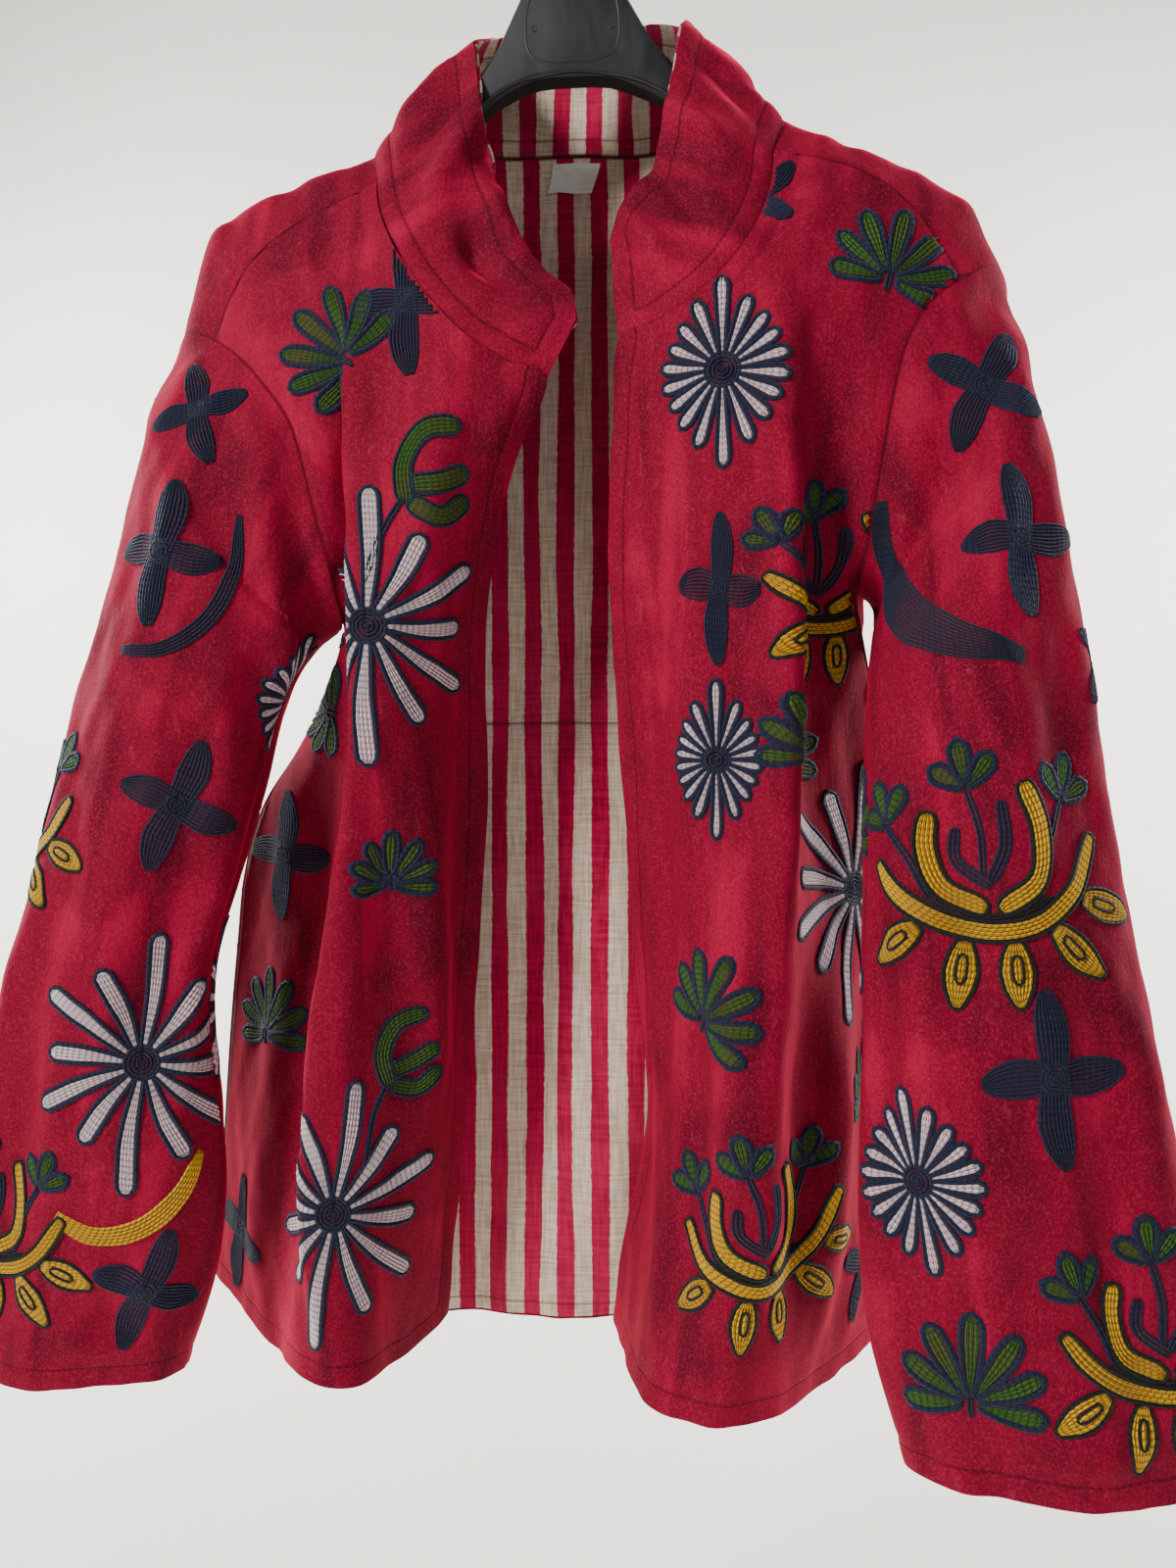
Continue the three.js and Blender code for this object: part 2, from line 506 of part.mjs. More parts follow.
function sleeveRing(ring, share) {
  const middle = new THREE.Vector3((ring.outerX + ring.innerX) / 2, ring.middleY, (ring.outerZ + ring.innerZ) / 2);
  const toUnderarm = new THREE.Vector3(ring.innerX - ring.outerX, 0, ring.innerZ - ring.outerZ).divideScalar(2);
  return Array.from({ length: SLEEVE_COLUMNS }, (_, j) => {
    const turn = j / SLEEVE_COLUMNS;
    const angle = 2 * Math.PI * turn;
    const point = middle.clone().addScaledVector(toUnderarm, Math.cos(angle));
    point.y -= (ring.depth / 2) * Math.sin(angle);
    const inward = middle.clone().sub(point).normalize();
    return point.addScaledVector(inward, creaseDepth(turn, share));
  });
}

function sleevePanel(side, outward) {
  const front = alongSeam(SEAMS[side].frontScye, SCYE_FRONT_ROWS).reverse();
  const back = alongSeam(SEAMS[side].backScye, SCYE_BACK_ROWS);
  const armhole = [...front.slice(0, -1), ...back.slice(0, -1)];
  const rings = SLEEVE_RINGS[side];
  const rows = [armhole, ...rings.map((ring, i) => sleeveRing(ring, (i + 1) / rings.length))];
  return makePanel(rows, outward, true);
}

// Collar

function collarPanel() {
  const base = [
    ...alongSeam(SEAMS.right.neckline, NECK_ROWS).reverse().slice(0, -1),
    ...backNeckSeam(),
    ...alongSeam(SEAMS.left.neckline, NECK_ROWS).slice(1),
  ];
  const knots = COLLAR_STATIONS.map((station) => station.column);
  const middles = COLLAR_STATIONS.map((station) => vector(station.middle));
  const edges = COLLAR_STATIONS.map((station) => vector(station.edge));
  const lines = base.map((start, j) => [start, splineAt(knots, middles, j), splineAt(knots, edges, j)]);
  const rows = Array.from({ length: COLLAR_ROWS + 1 }, (_, i) => {
    const height = (2 * i) / COLLAR_ROWS;
    return lines.map((line) => splineAt([0, 1, 2], line, height));
  });
  return makePanel(rows, -1);
}

// Hanger body: sections across its length, each a closed loop round the arm

function hangerSection(x, y, top, bottom, half, slope, ridgeHalf, ridgeDrop) {
  const footHalf = half - HANGER_FOOT;
  const footTop = bottom + HANGER_FOOT;
  return [
    [0, top], [-ridgeHalf, top - ridgeDrop], [-half, top - slope], [-half, footTop], [-footHalf, bottom],
    [footHalf, bottom], [half, footTop], [half, top - slope], [ridgeHalf, top - ridgeDrop],
  ].map(([across, z]) => new THREE.Vector3(x, y + across, z));
}

function armStations(back, columns) {
  return columns.map((column) => {
    const rest = insidePoint(back, 1, column, INSIDE_DEPTH + SEAM_GAP);
    const { height, half, slope, ridgeHalf, ridgeDrop } = HANGER_ARM;
    return hangerSection(rest.x, rest.y, rest.z, rest.z - height, half, slope, ridgeHalf, ridgeDrop);
  });
}

function tipStation(section, reach) {
  const middle = section.reduce((sum, point) => sum.add(point), new THREE.Vector3()).divideScalar(section.length);
  return section.map((point) => {
    const drawn = middle.clone().lerp(point, HANGER_TIP.share);
    drawn.x += reach;
    drawn.z -= HANGER_TIP.drop;
    return drawn;
  });
}

function hangerBody(back) {
  const rightArm = armStations(back, HANGER_RIGHT_COLUMNS);
  const leftArm = armStations(back, HANGER_LEFT_COLUMNS);
  const middle = HANGER_MIDDLE.map(({ x, top, bottom, half, slope }) => {
    const ridgeHalf = half * HANGER_RIDGE.halfShare;
    const ridgeDrop = slope * HANGER_RIDGE.slopeShare;
    return hangerSection(x, HANGER_Y, top, bottom, half, slope, ridgeHalf, ridgeDrop);
  });
  const rightTip = tipStation(rightArm[0], -HANGER_TIP.reach);
  const leftTip = tipStation(leftArm.at(-1), HANGER_TIP.reach);
  const sections = [rightTip, ...rightArm, ...middle, ...leftArm, leftTip];
  const count = sections[0].length;
  const vertices = sections.flat().flatMap((point) => point.toArray());
  const indices = [];
  for (let i = 0; i < sections.length - 1; i += 1) {
    for (let j = 0; j < count; j += 1) {
      const k = (j + 1) % count;
      const a = i * count;
      const b = a + count;
      indices.push(a + j, b + j, b + k, a + j, b + k, a + k);
    }
  }
  const last = (sections.length - 1) * count;
  for (let j = 1; j < count - 1; j += 1) {
    indices.push(0, j, j + 1, last, last + j + 1, last + j);
  }
  return closedGeometry(vertices, indices);
}

// Hook: a wire that rises from the body, turns back and closes over the rail

function hangerHook() {
  const radius = HOOK_INNER_RADIUS + HOOK_WIRE / 2;
  const onArc = (angle) => new THREE.Vector3(
    radius * Math.cos(angle), HANGER_Y, radius * Math.sin(angle) - HOOK_INNER_RADIUS);
  const start = HANGER_TOP + SEAM_GAP;
  const shank = HOOK_SHANK.map(([x, rise]) => new THREE.Vector3(x, HANGER_Y, start + rise));
  const arc = Array.from({ length: HOOK_ARC_POINTS }, (_, k) => (
    onArc(THREE.MathUtils.lerp(HOOK_START_TURN, HOOK_TIP_TURN, k / (HOOK_ARC_POINTS - 1)))));
  const path = new THREE.CatmullRomCurve3([...shank, ...arc], false, 'centripetal');
  const wire = new THREE.Shape().absarc(0, 0, HOOK_WIRE / 2, 0, 2 * Math.PI);
  return new THREE.ExtrudeGeometry(wire, {
    extrudePath: path, steps: HOOK_RINGS, curveSegments: HOOK_CURVE_SEGMENTS,
  });
}

// Materials

const velvet = () => new THREE.MeshStandardMaterial({ color: 0xa9152f, roughness: 0.85, metalness: 0 });
const cotton = () => new THREE.MeshStandardMaterial({ color: 0xb8104a, roughness: 0.8, metalness: 0 });
const tape = () => new THREE.MeshStandardMaterial({ color: 0xf2f0ec, roughness: 0.7, metalness: 0 });
const plastic = () => new THREE.MeshStandardMaterial({ color: 0x2b2c2e, roughness: 0.45, metalness: 0 });
const steel = () => new THREE.MeshStandardMaterial({ color: 0xc8c8c8, roughness: 0.3, metalness: 1 });

const jacket = new THREE.Group();

function add(name, geometry, material) {
  const mesh = new THREE.Mesh(geometry, material);
  mesh.name = name;
  jacket.add(mesh);
}

const back = backPanel();
const frontRight = frontPanel('right', 1);
const frontLeft = frontPanel('left', -1);
const sleeveRight = sleevePanel('right', 1);
const sleeveLeft = sleevePanel('left', -1);
const collar = collarPanel();
const panels = [back, frontRight, frontLeft, sleeveRight, sleeveLeft, collar];
shareSeamNormals(panels);
easeShoulderNormals(frontRight);
easeShoulderNormals(frontLeft);
panels.forEach(drawInSeams);

// Adds one layer of a panel between two of its rows and two of its columns

function addLayer(name, panel, material, [outerDepth, innerDepth], rows, columns) {
  add(name, wallGeometry(panel, rows, columns, outerDepth, innerDepth), material);
}

const VELVET_LAYER = [0, VELVET];
const COTTON_LAYER = [LINING_DEPTH, INSIDE_DEPTH];
const LABEL_LAYER = [INSIDE_DEPTH + SEAM_GAP, INSIDE_DEPTH + SEAM_GAP + LABEL_TAPE];

const frontRows = steps(0, FRONT_ROWS, 0, 0);
const frontColumns = steps(0, FRONT_COLUMNS, 0, 0);
const backColumns = steps(0, BACK_COLUMNS, 0, 0);
const sleeveRows = steps(0, SLEEVE_RINGS.right.length, 0, 0);
const sleeveColumns = steps(0, SLEEVE_COLUMNS - 1, 0, 0);
const collarRows = steps(0, COLLAR_ROWS, 0, 0);
const collarColumns = steps(0, COLLAR_COLUMNS, 0, 0);

addLayer('back', back, velvet(), VELVET_LAYER, steps(0, BACK_ROWS, 0, 0), backColumns);
addLayer('front_right', frontRight, velvet(), VELVET_LAYER, frontRows, frontColumns);
addLayer('front_left', frontLeft, velvet(), VELVET_LAYER, frontRows, frontColumns);
addLayer('sleeve_right', sleeveRight, velvet(), VELVET_LAYER, sleeveRows, sleeveColumns);
addLayer('sleeve_left', sleeveLeft, velvet(), VELVET_LAYER, sleeveRows, sleeveColumns);
addLayer('collar', collar, velvet(), VELVET_LAYER, collarRows, collarColumns);

// Linings lie inside the velvet, short of the hem and the free edges

const upperRows = steps(0, CROSS_SEAM_ROW, 0, CROSS_SEAM_PULL);
const lowerRows = steps(CROSS_SEAM_ROW, BACK_ROWS, CROSS_SEAM_PULL, BACK_HEM_LINING_RISE);
const frontLiningRows = steps(0, FRONT_ROWS, 0, HEM_LINING_RISE);
const frontLiningColumns = steps(0, FRONT_COLUMNS, EDGE_LINING_INSET, 0);
const collarLiningRows = steps(0, COLLAR_ROWS, 0, EDGE_LINING_INSET);
const collarLiningColumns = steps(0, COLLAR_COLUMNS, EDGE_LINING_INSET, EDGE_LINING_INSET);
addLayer('lining_back_upper', back, cotton(), COTTON_LAYER, upperRows, backColumns);
addLayer('lining_back_lower', back, cotton(), COTTON_LAYER, lowerRows, backColumns);
addLayer('lining_front_right', frontRight, cotton(), COTTON_LAYER, frontLiningRows, frontLiningColumns);
addLayer('lining_front_left', frontLeft, cotton(), COTTON_LAYER, frontLiningRows, frontLiningColumns);
addLayer('collar_lining', collar, cotton(), COTTON_LAYER, collarLiningRows, collarLiningColumns);

const labelRows = steps(LABEL.topRow, LABEL.bottomRow, 0, 0);
const labelColumns = steps(LABEL.firstColumn, LABEL.lastColumn, 0, 0);
addLayer('care_label', back, tape(), LABEL_LAYER, labelRows, labelColumns);

add('hanger_body', hangerBody(back), plastic());
add('hanger_hook', hangerHook(), steel());

export default jacket;
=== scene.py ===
"""Suzani jacket on a hanger, dressed: crimson velvet, striped cotton lining and chain-stitch embroidery.

Lengths in the tables are millimetres, +Z up, as in the part. The front of the jacket faces -Y, and right and
left are the wearer's: the right side is at -X.
"""

import math

import bmesh
import bpy
import numpy as np
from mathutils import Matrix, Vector
from mathutils.bvhtree import BVHTree


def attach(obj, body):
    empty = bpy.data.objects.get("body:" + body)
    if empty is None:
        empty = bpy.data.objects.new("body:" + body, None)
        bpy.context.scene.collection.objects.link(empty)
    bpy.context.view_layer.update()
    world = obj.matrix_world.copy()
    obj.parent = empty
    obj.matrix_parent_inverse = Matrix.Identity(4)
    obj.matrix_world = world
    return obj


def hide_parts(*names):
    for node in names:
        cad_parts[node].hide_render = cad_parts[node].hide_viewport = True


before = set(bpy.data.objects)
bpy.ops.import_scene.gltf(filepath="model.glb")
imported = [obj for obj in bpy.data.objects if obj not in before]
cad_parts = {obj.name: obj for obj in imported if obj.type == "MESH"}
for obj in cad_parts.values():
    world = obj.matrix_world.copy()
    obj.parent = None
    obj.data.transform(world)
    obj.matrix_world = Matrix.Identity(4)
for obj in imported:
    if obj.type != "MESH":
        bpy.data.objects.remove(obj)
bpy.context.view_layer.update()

MM = 0.001

# Cloth thicknesses and gaps
VELVET = 1.6
COTTON = 1.0
LAYER_GAP = 0.6
LINING_DEPTH = VELVET + LAYER_GAP
INSIDE_DEPTH = LINING_DEPTH + COTTON
LABEL_DEPTH = INSIDE_DEPTH + 0.5
LABEL_TAPE = 0.6

# Rows run down each panel and columns run across it, as in the part

NECK_ROWS = 7
SCYE_FRONT_ROWS = 8
SCYE_BACK_ROWS = 10
SIDE_ROWS = 10
FRONT_COLUMNS = 12
SHOULDER_COLUMNS = 6
BACK_NECK_COLUMNS = 10
COLLAR_ROWS = 4
FRONT_ROWS = SCYE_FRONT_ROWS + SIDE_ROWS
BACK_ROWS = SCYE_BACK_ROWS + SIDE_ROWS
BACK_COLUMNS = 2 * SHOULDER_COLUMNS + BACK_NECK_COLUMNS
SLEEVE_COLUMNS = SCYE_FRONT_ROWS + SCYE_BACK_ROWS
COLLAR_COLUMNS = 2 * NECK_ROWS + BACK_NECK_COLUMNS
# The lining's cross seam, how far its edges stay inside the velvet's, and how far the collar's rolls out
CROSS_SEAM_ROW = 11
LINING_RISE_ROWS = 0.45
BACK_LINING_RISE_ROWS = 0.06
LINING_INSET_COLUMNS = 0.12
LINING_ROLL = 0.06

# Seams and edges as they hang: the points of each curve

SEAMS = {
    "right": {
        "shoulder": [
            (-105.7, -13, -199), (-129, -15, -211), (-152, -16, -223), (-172, -16, -238),
            (-184, -16, -256), (-195, -15, -283),
        ],
        "neckline": [
            (-105.7, -13, -199), (-100.6, -24, -222), (-80, -40, -262), (-48.5, -45, -298),
            (-10.5, -35, -317),
        ],
        "free_edge": [
            (-10.5, -35, -317), (-20.6, -28, -336), (-31, -20, -359), (-40, -10, -388), (-47, 0, -418),
            (-51, 12, -460), (-50.5, 25, -525), (-56.6, 34, -610), (-63.6, 41, -685), (-71, 46, -756),
            (-79, 50, -838),
        ],
        "front_scye": [
            (-195, -15, -283), (-179, -22, -295), (-165.5, -26, -310), (-152, -29, -326),
            (-143, -30, -350), (-137, -28, -375), (-131, -22, -402), (-128, -12, -425), (-128, 0, -440),
        ],
        "back_scye": [
            (-195, -15, -283), (-213, -6, -274), (-224, 8, -274), (-226, 24, -290), (-212, 44, -325),
            (-182, 56, -375), (-152, 42, -422), (-128, 0, -440),
        ],
        "side": [
            (-128, 0, -440), (-139, 15, -464), (-158, 31, -494), (-182, 42, -526), (-198, 47, -555),
            (-206, 52, -600), (-212, 56, -645), (-217, 60, -694), (-223, 66, -758), (-230, 72, -828),
        ],
    },
    "left": {
        "shoulder": [
            (107.3, -13, -190), (132, -15, -197), (156, -17, -207), (174, -18, -221), (188, -20, -240),
            (202, -22, -266),
        ],
        "neckline": [
            (107.3, -13, -190), (103, -22, -221), (83, -38, -260), (56, -35, -282), (26, -20, -292),
        ],
        "free_edge": [
            (26, -20, -292), (22, -14, -343), (20, -6, -390), (21, 2, -445), (24.7, 8, -498),
            (28.7, 14, -552), (32.4, 19, -607), (37, 24, -662), (40, 29, -701), (36.5, 35, -740),
            (28, 42, -780), (20, 50, -838),
        ],
        "front_scye": [
            (202, -22, -266), (184, -30, -281), (173, -34, -300), (165, -36, -330), (160, -34, -360),
            (155, -24, -395), (152, -5, -425),
        ],
        "back_scye": [
            (202, -22, -266), (220, -10, -254), (232, 6, -252), (236, 24, -268), (224, 46, -308),
            (197, 58, -362), (172, 46, -405), (152, -5, -425),
        ],
        "side": [
            (152, -5, -425), (158, 8, -450), (165, 18, -480), (172, 28, -520), (177, 36, -570),
            (179, 43, -640), (179, 49, -720), (178, 54, -790), (176, 57, -840),
        ],
    },
}
BACK_NECK = [
    (-109, 2, -174), (-94, 31, -160), (-58, 55, -155), (-8.6, 62, -152), (44, 55, -157), (82, 31, -160),
    (112, 2, -165),
]

# Folds of the fronts. A row of a table is one row of the panel: its number, its sag in the middle, and then
# how far across (x) and how deep (y) each fold column lies.

FRONT_FOLD_COLUMNS = {"breast": 3, "crest": 5, "fold": 6, "tuck": 7, "flank": 9}
FRONT_FOLDS = {
    "right": [
        (2, 0, (-104, -33), (-112, -35), (-119, -35), (-124, -31), (-144, -29)),
        (4, 0, (-88, -41), (-104, -40), (-116, -37), (-118, -29), (-129, -31)),
        (7, 0, (-52, -42), (-95, -43), (-116, -38), (-114, -20), (-119, -17)),
        (8, 0, (-60, -36), (-95, -43), (-115.5, -38), (-111, -18), (-119, -15)),
        (10, 0, (-70, -15), (-97, -37), (-115.5, -36), (-110, -10), (-138, 8)),
        (12, 0, (-74, -2), (-103, -31), (-122, -32), (-117, -2), (-168, 29)),
        (14, 0, (-83, 5), (-117, -26), (-137, -27), (-135, 2), (-178, 34)),
        (16, -3, (-89, 10), (-122, -24), (-143, -25), (-149, -6), (-187, 30)),
        (18, -11, (-96, 18), (-112, -23), (-126, -29), (-142, -22), (-174, 14)),
    ],
    "left": [
        (2, 0, (116, -34), (128, -36), (134, -37), (140, -37), (153, -36)),
        (4, 0, (92, -42), (108, -45), (116, -45), (123, -43), (139, -40)),
        (7, 0, (58, -38), (93, -46), (107, -45), (116, -38), (134, -29)),
        (8, 0, (54, -34), (92, -46), (108, -45), (117, -35), (134, -22)),
        (10, 0, (50, -26), (90, -44), (109, -45), (118, -30), (140, -6)),
        (12, 0, (53, -18), (90, -42), (111, -45), (122, -28), (151, 6)),
        (14, 0, (58, -21), (86, -44), (107, -48), (121, -32), (155, 9)),
        (16, -2, (52, -17), (78, -44), (98, -50), (116, -37), (153, 10)),
        (18, -7, (38, -24), (62, -43), (80, -48), (100, -39), (138, 6)),
    ],
}

# Folds of the back: the number of a row, then the point of each fold column

BACK_FOLD_COLUMNS = [1, 4, 7, 9, 11, 13, 15, 18, 21]
BACK_FOLDS = [
    (1, [
        (-205, 2, -222), (-162, 3, -195), (-114, 15, -178), (-68, 57, -180), (-8.6, 66, -178),
        (56, 57, -182), (117, 15, -170), (165, 3, -190), (213, 2, -220),
    ]),
    (2, [
        (-208, 26, -240), (-163, 27, -206), (-118, 38, -200), (-70, 62, -208), (-8.6, 67, -208),
        (58, 62, -208), (120, 38, -192), (166, 27, -202), (216, 26, -238),
    ]),
    (4, [
        (-198, 52, -300), (-158, 59, -275), (-116, 63, -264), (-66, 66, -262), (-8.6, 67, -262),
        (52, 66, -262), (114, 62, -262), (162, 59, -270), (208, 52, -296),
    ]),
    (7, [
        (-152, 62, -380), (-128, 67, -370), (-100, 64, -365), (-55, 69, -362), (-8.6, 65, -362),
        (40, 69, -362), (95, 64, -364), (138, 65, -370), (176, 58, -382),
    ]),
    (10, [
        (-131, 30, -452), (-132, 54, -450), (-100, 66, -448), (-55, 64, -450), (-8.6, 70, -450),
        (38, 65, -450), (90, 69, -448), (148, 48, -446), (156, 15, -440),
    ]),
    (12, [
        (-173, 52, -520), (-143, 66, -525), (-100, 64, -528), (-55, 69, -530), (-8.6, 65, -530),
        (36, 71, -530), (86, 65, -528), (136, 67, -520), (166, 42, -512),
    ]),
    (15, [
        (-198, 66, -636), (-150, 71, -644), (-104, 64, -648), (-58, 69, -648), (-10, 64, -648),
        (36, 72, -648), (84, 65, -648), (134, 73, -644), (171, 58, -636),
    ]),
    (18, [
        (-206, 77, -755), (-161, 74, -764), (-108, 65, -767), (-60, 71, -767), (-12, 64, -767),
        (34, 74, -767), (84, 65, -767), (135, 76, -765), (172, 64, -760),
    ]),
    (20, [
        (-213, 84, -836), (-168, 78, -843), (-112, 67, -846), (-62, 74, -846), (-14, 66, -846),
        (34, 75, -846), (84, 67, -846), (137, 79, -845), (170, 70, -842),
    ]),
]

# Sleeves, a row per ring: outer x and z, inner x and z, the depth (y) of its middle, and its own depth

SLEEVE_RINGS = {
    "right": [
        (-233, -303, -145, -448, 10, 92), (-239, -336, -150, -456, 5, 94), (-247, -372, -153, -462, 1, 94),
        (-257, -412, -157, -473, -4, 92), (-267, -452, -163, -492, -8, 90),
        (-277, -492, -168, -517, -11, 87), (-286, -533, -175, -546, -13, 84),
        (-295, -575, -184, -581, -14, 81), (-305, -618, -195, -620, -15, 79),
        (-313, -659, -197, -659, -15, 77), (-322, -701, -192, -700, -15, 75),
        (-330, -745, -189, -744, -14, 73), (-338, -792, -195, -792, -12, 71),
        (-345, -845, -212, -844, -10, 69),
    ],
    "left": [
        (237, -284, 163, -430, 8, 94), (240, -317, 162, -437, -2, 98), (244, -352, 159, -446, -12, 99),
        (248, -390, 156, -459, -22, 98), (252, -430, 153, -478, -31, 96), (257, -470, 151, -503, -38, 93),
        (262, -512, 151, -534, -43, 90), (269, -555, 150, -570, -47, 87), (277, -600, 148, -609, -50, 85),
        (285, -645, 147, -650, -53, 83), (293, -691, 145, -693, -55, 81), (300, -739, 144, -739, -57, 79),
        (306, -790, 148, -789, -59, 77), (312, -852, 165, -850, -60, 75),
    ],
}

# Long soft creases of the sleeves: turns round the ring from the underarm, depth, width and start
SLEEVE_CREASES = [
    (0.17, 5, 0.07, 0.2), (0.36, 7, 0.08, 0.1), (0.68, 6, 0.09, 0.15), (0.88, 5, 0.07, 0.3),
]
CREASE_FADE = 0.25

# Collar, a row per station: its column, the middle of the band and its free edge

COLLAR_STATIONS = [
    (0, (-3, -38, -303), (5, -37, -288)),
    (2, (-22, -41, -283), (0, -31, -267)),
    (4, (-54, -35, -249), (-27, -23, -241)),
    (7, (-80, -19, -180), (-49, -14, -160)),
    (8, (-84, 1, -146), (-54, -2, -124)),
    (9, (-82, 24, -130), (-57, 20, -106)),
    (10, (-69, 45, -120), (-51, 42, -90)),
    (11, (-41, 60, -117), (-32, 58, -82)),
    (12, (-8.6, 66, -116), (-8.6, 65, -79)),
    (13, (26, 61, -117), (20, 59, -82)),
    (14, (60, 46, -120), (47, 43, -87)),
    (15, (85, 24, -131), (65, 24, -103)),
    (16, (88, 1, -139), (60, -2, -114)),
    (17, (84, -18, -170), (54, -14, -150)),
    (20, (64, -29, -226), (43, -15, -196)),
    (22, (44, -26, -247), (30, -13, -214)),
    (24, (23, -19, -264), (20.6, -12, -236)),
]

# How finely each panel is drawn: steps in each row and in each column

BACK_STEPS = (9, 6)
FRONT_STEPS = (10, 5)
SLEEVE_STEPS = (11, 6)
COLLAR_STEPS = (7, 7)
LINING_STEPS = (5, 4)


# Curves and surfaces


def points_of(table):
    return np.array(table, float)


def step_lengths(points, axis=0):
    """The length of each step between neighbouring points along an axis of a grid or line."""
    return np.linalg.norm(np.diff(points, axis=axis), axis=-1)


def reach_of(lengths, axis=0):
    """How far along each point lies, from the lengths of the steps between them."""
    return np.insert(np.cumsum(lengths, axis=axis), 0, 0, axis=axis)


CURVE_SAMPLES = 201


def along(points, steps):
    """Evenly spaced points along the centripetal curve through a seam's points."""
    p = points_of(points)
    p = np.vstack([2 * p[0] - p[1], p, 2 * p[-1] - p[-2]])
    t = np.linspace(0, len(p) - 3, CURVE_SAMPLES)
    i = np.minimum(t.astype(int), len(p) - 4)
    u = (t - i)[:, None]
    a, b, c, d = p[i], p[i + 1], p[i + 2], p[i + 3]
    first, second, third = (
        np.maximum(np.linalg.norm(q - r, axis=1), 1e-6)[:, None] ** 0.5
        for q, r in ((b, a), (c, b), (d, c))
    )
    start = ((b - a) / first - (c - a) / (first + second) + (c - b) / second) * second
    end = ((c - b) / second - (d - b) / (second + third) + (d - c) / third) * second
    dense = hermite(b, c, start, end, u)
    reach = reach_of(step_lengths(dense))
    even = np.linspace(0, reach[-1], steps + 1)
    return interpolated(even, reach, dense)


def interpolated(places, reach, points):
    """Points at some places of a line, whose own points lie at each reach along it."""
    return np.column_stack([np.interp(places, reach, points[:, k]) for k in range(3)])


def hermite(a, b, start, end, u):
    u2, u3 = u * u, u * u * u
    return (
        a * (2 * u3 - 3 * u2 + 1)
        + start * (u3 - 2 * u2 + u)
        + b * (3 * u2 - 2 * u3)
        + end * (u3 - u2)
    )


def spline(knots, values, at):
    """A cubic curve through values at uneven knots, at each place of at."""
    knots, at = points_of(knots), np.asarray(at, float)
    values = [points_of(v) for v in values]
    last = len(knots) - 1
    slopes = [
        (values[min(last, k + 1)] - values[max(0, k - 1)]) / (knots[min(last, k + 1)] - knots[max(0, k - 1)])
        for k in range(last + 1)
    ]
    out = []
    for t in at:
        i = min(last - 1, max(0, int(np.searchsorted(knots, t, side="left")) - 1))
        span = knots[i + 1] - knots[i]
        u = (t - knots[i]) / span
        out.append(hermite(values[i], values[i + 1], slopes[i] * span, slopes[i + 1] * span, u))
    return np.array(out)


def smooth_weights(count, at, cyclic=False):
    """Weights that carry a run of count points on to finer places along it, smoothly."""
    weights = np.zeros((len(at), count))
    for r, t in enumerate(at):
        i = min(int(t), count - 1 if cyclic else count - 2)
        u = t - i
        u2, u3 = u * u, u * u * u
        parts = ((-1, (-u3 + 2 * u2 - u) / 2), (0, (3 * u3 - 5 * u2 + 2) / 2),
                 (1, (-3 * u3 + 4 * u2 + u) / 2), (2, (u3 - u2) / 2))
        for step, weight in parts:
            k = i + step
            if cyclic:
                weights[r, k % count] += weight
            elif k < 0:
                weights[r, 0] += 2 * weight
                weights[r, 1] -= weight
            elif k >= count:
                weights[r, count - 1] += 2 * weight
                weights[r, count - 2] -= weight
            else:
                weights[r, k] += weight
    return weights


def normals_of(points, outward, cyclic=False):
    across = np.gradient(points, axis=1)
    if cyclic:
        seam = (points[:, 1] - points[:, -2]) / 2
        across[:, 0] = across[:, -1] = seam
    down = np.gradient(points, axis=0)
    normals = np.cross(across, down) * outward
    return normals / np.maximum(np.linalg.norm(normals, axis=2, keepdims=True), 1e-9)


# The panels' rows and columns of points, as in the part


def joined(first, first_steps, second, second_steps):
    """Even points along one seam and on along the next, which starts where the first one ends."""
    return np.vstack([along(first, first_steps)[:-1], along(second, second_steps)])


def back_neck_seam():
    ends = points_of([SEAMS["right"]["neckline"][0], SEAMS["left"]["neckline"][0]])
    return np.vstack([ends[:1], along(BACK_NECK, BACK_NECK_COLUMNS - 2), ends[1:]])


def shoulder_seam(side, columns):
    corners = along(SEAMS[side]["shoulder"], SHOULDER_COLUMNS)
    places = np.linspace(0, SHOULDER_COLUMNS, columns + 1)
    return interpolated(places, range(SHOULDER_COLUMNS + 1), corners)


def front_rows(side):
    seams = SEAMS[side]
    edge = joined(seams["neckline"], NECK_ROWS, seams["free_edge"], FRONT_ROWS - NECK_ROWS)
    outer = joined(seams["front_scye"], SCYE_FRONT_ROWS, seams["side"], SIDE_ROWS)
    shoulder = shoulder_seam(side, FRONT_COLUMNS)
    folds = FRONT_FOLDS[side]
    row_knots = [0] + [fold[0] for fold in folds]
    lines = []
    for k, column in enumerate(FRONT_FOLD_COLUMNS.values()):
        share = column / FRONT_COLUMNS
        line = [shoulder[column]]
        for fold in folds:
            x, y = fold[2 + k]
            row = fold[0]
            line.append((x, y, edge[row][2] + (outer[row][2] - edge[row][2]) * share + fold[1]))
        lines.append(spline(row_knots, line, range(FRONT_ROWS + 1)))
    column_knots = [0, *FRONT_FOLD_COLUMNS.values(), FRONT_COLUMNS]
    rows = [
        spline(column_knots, [edge[i], *(line[i] for line in lines), outer[i]], range(FRONT_COLUMNS + 1))
        for i in range(FRONT_ROWS + 1)
    ]
    rows[0] = shoulder
    return np.array(rows)


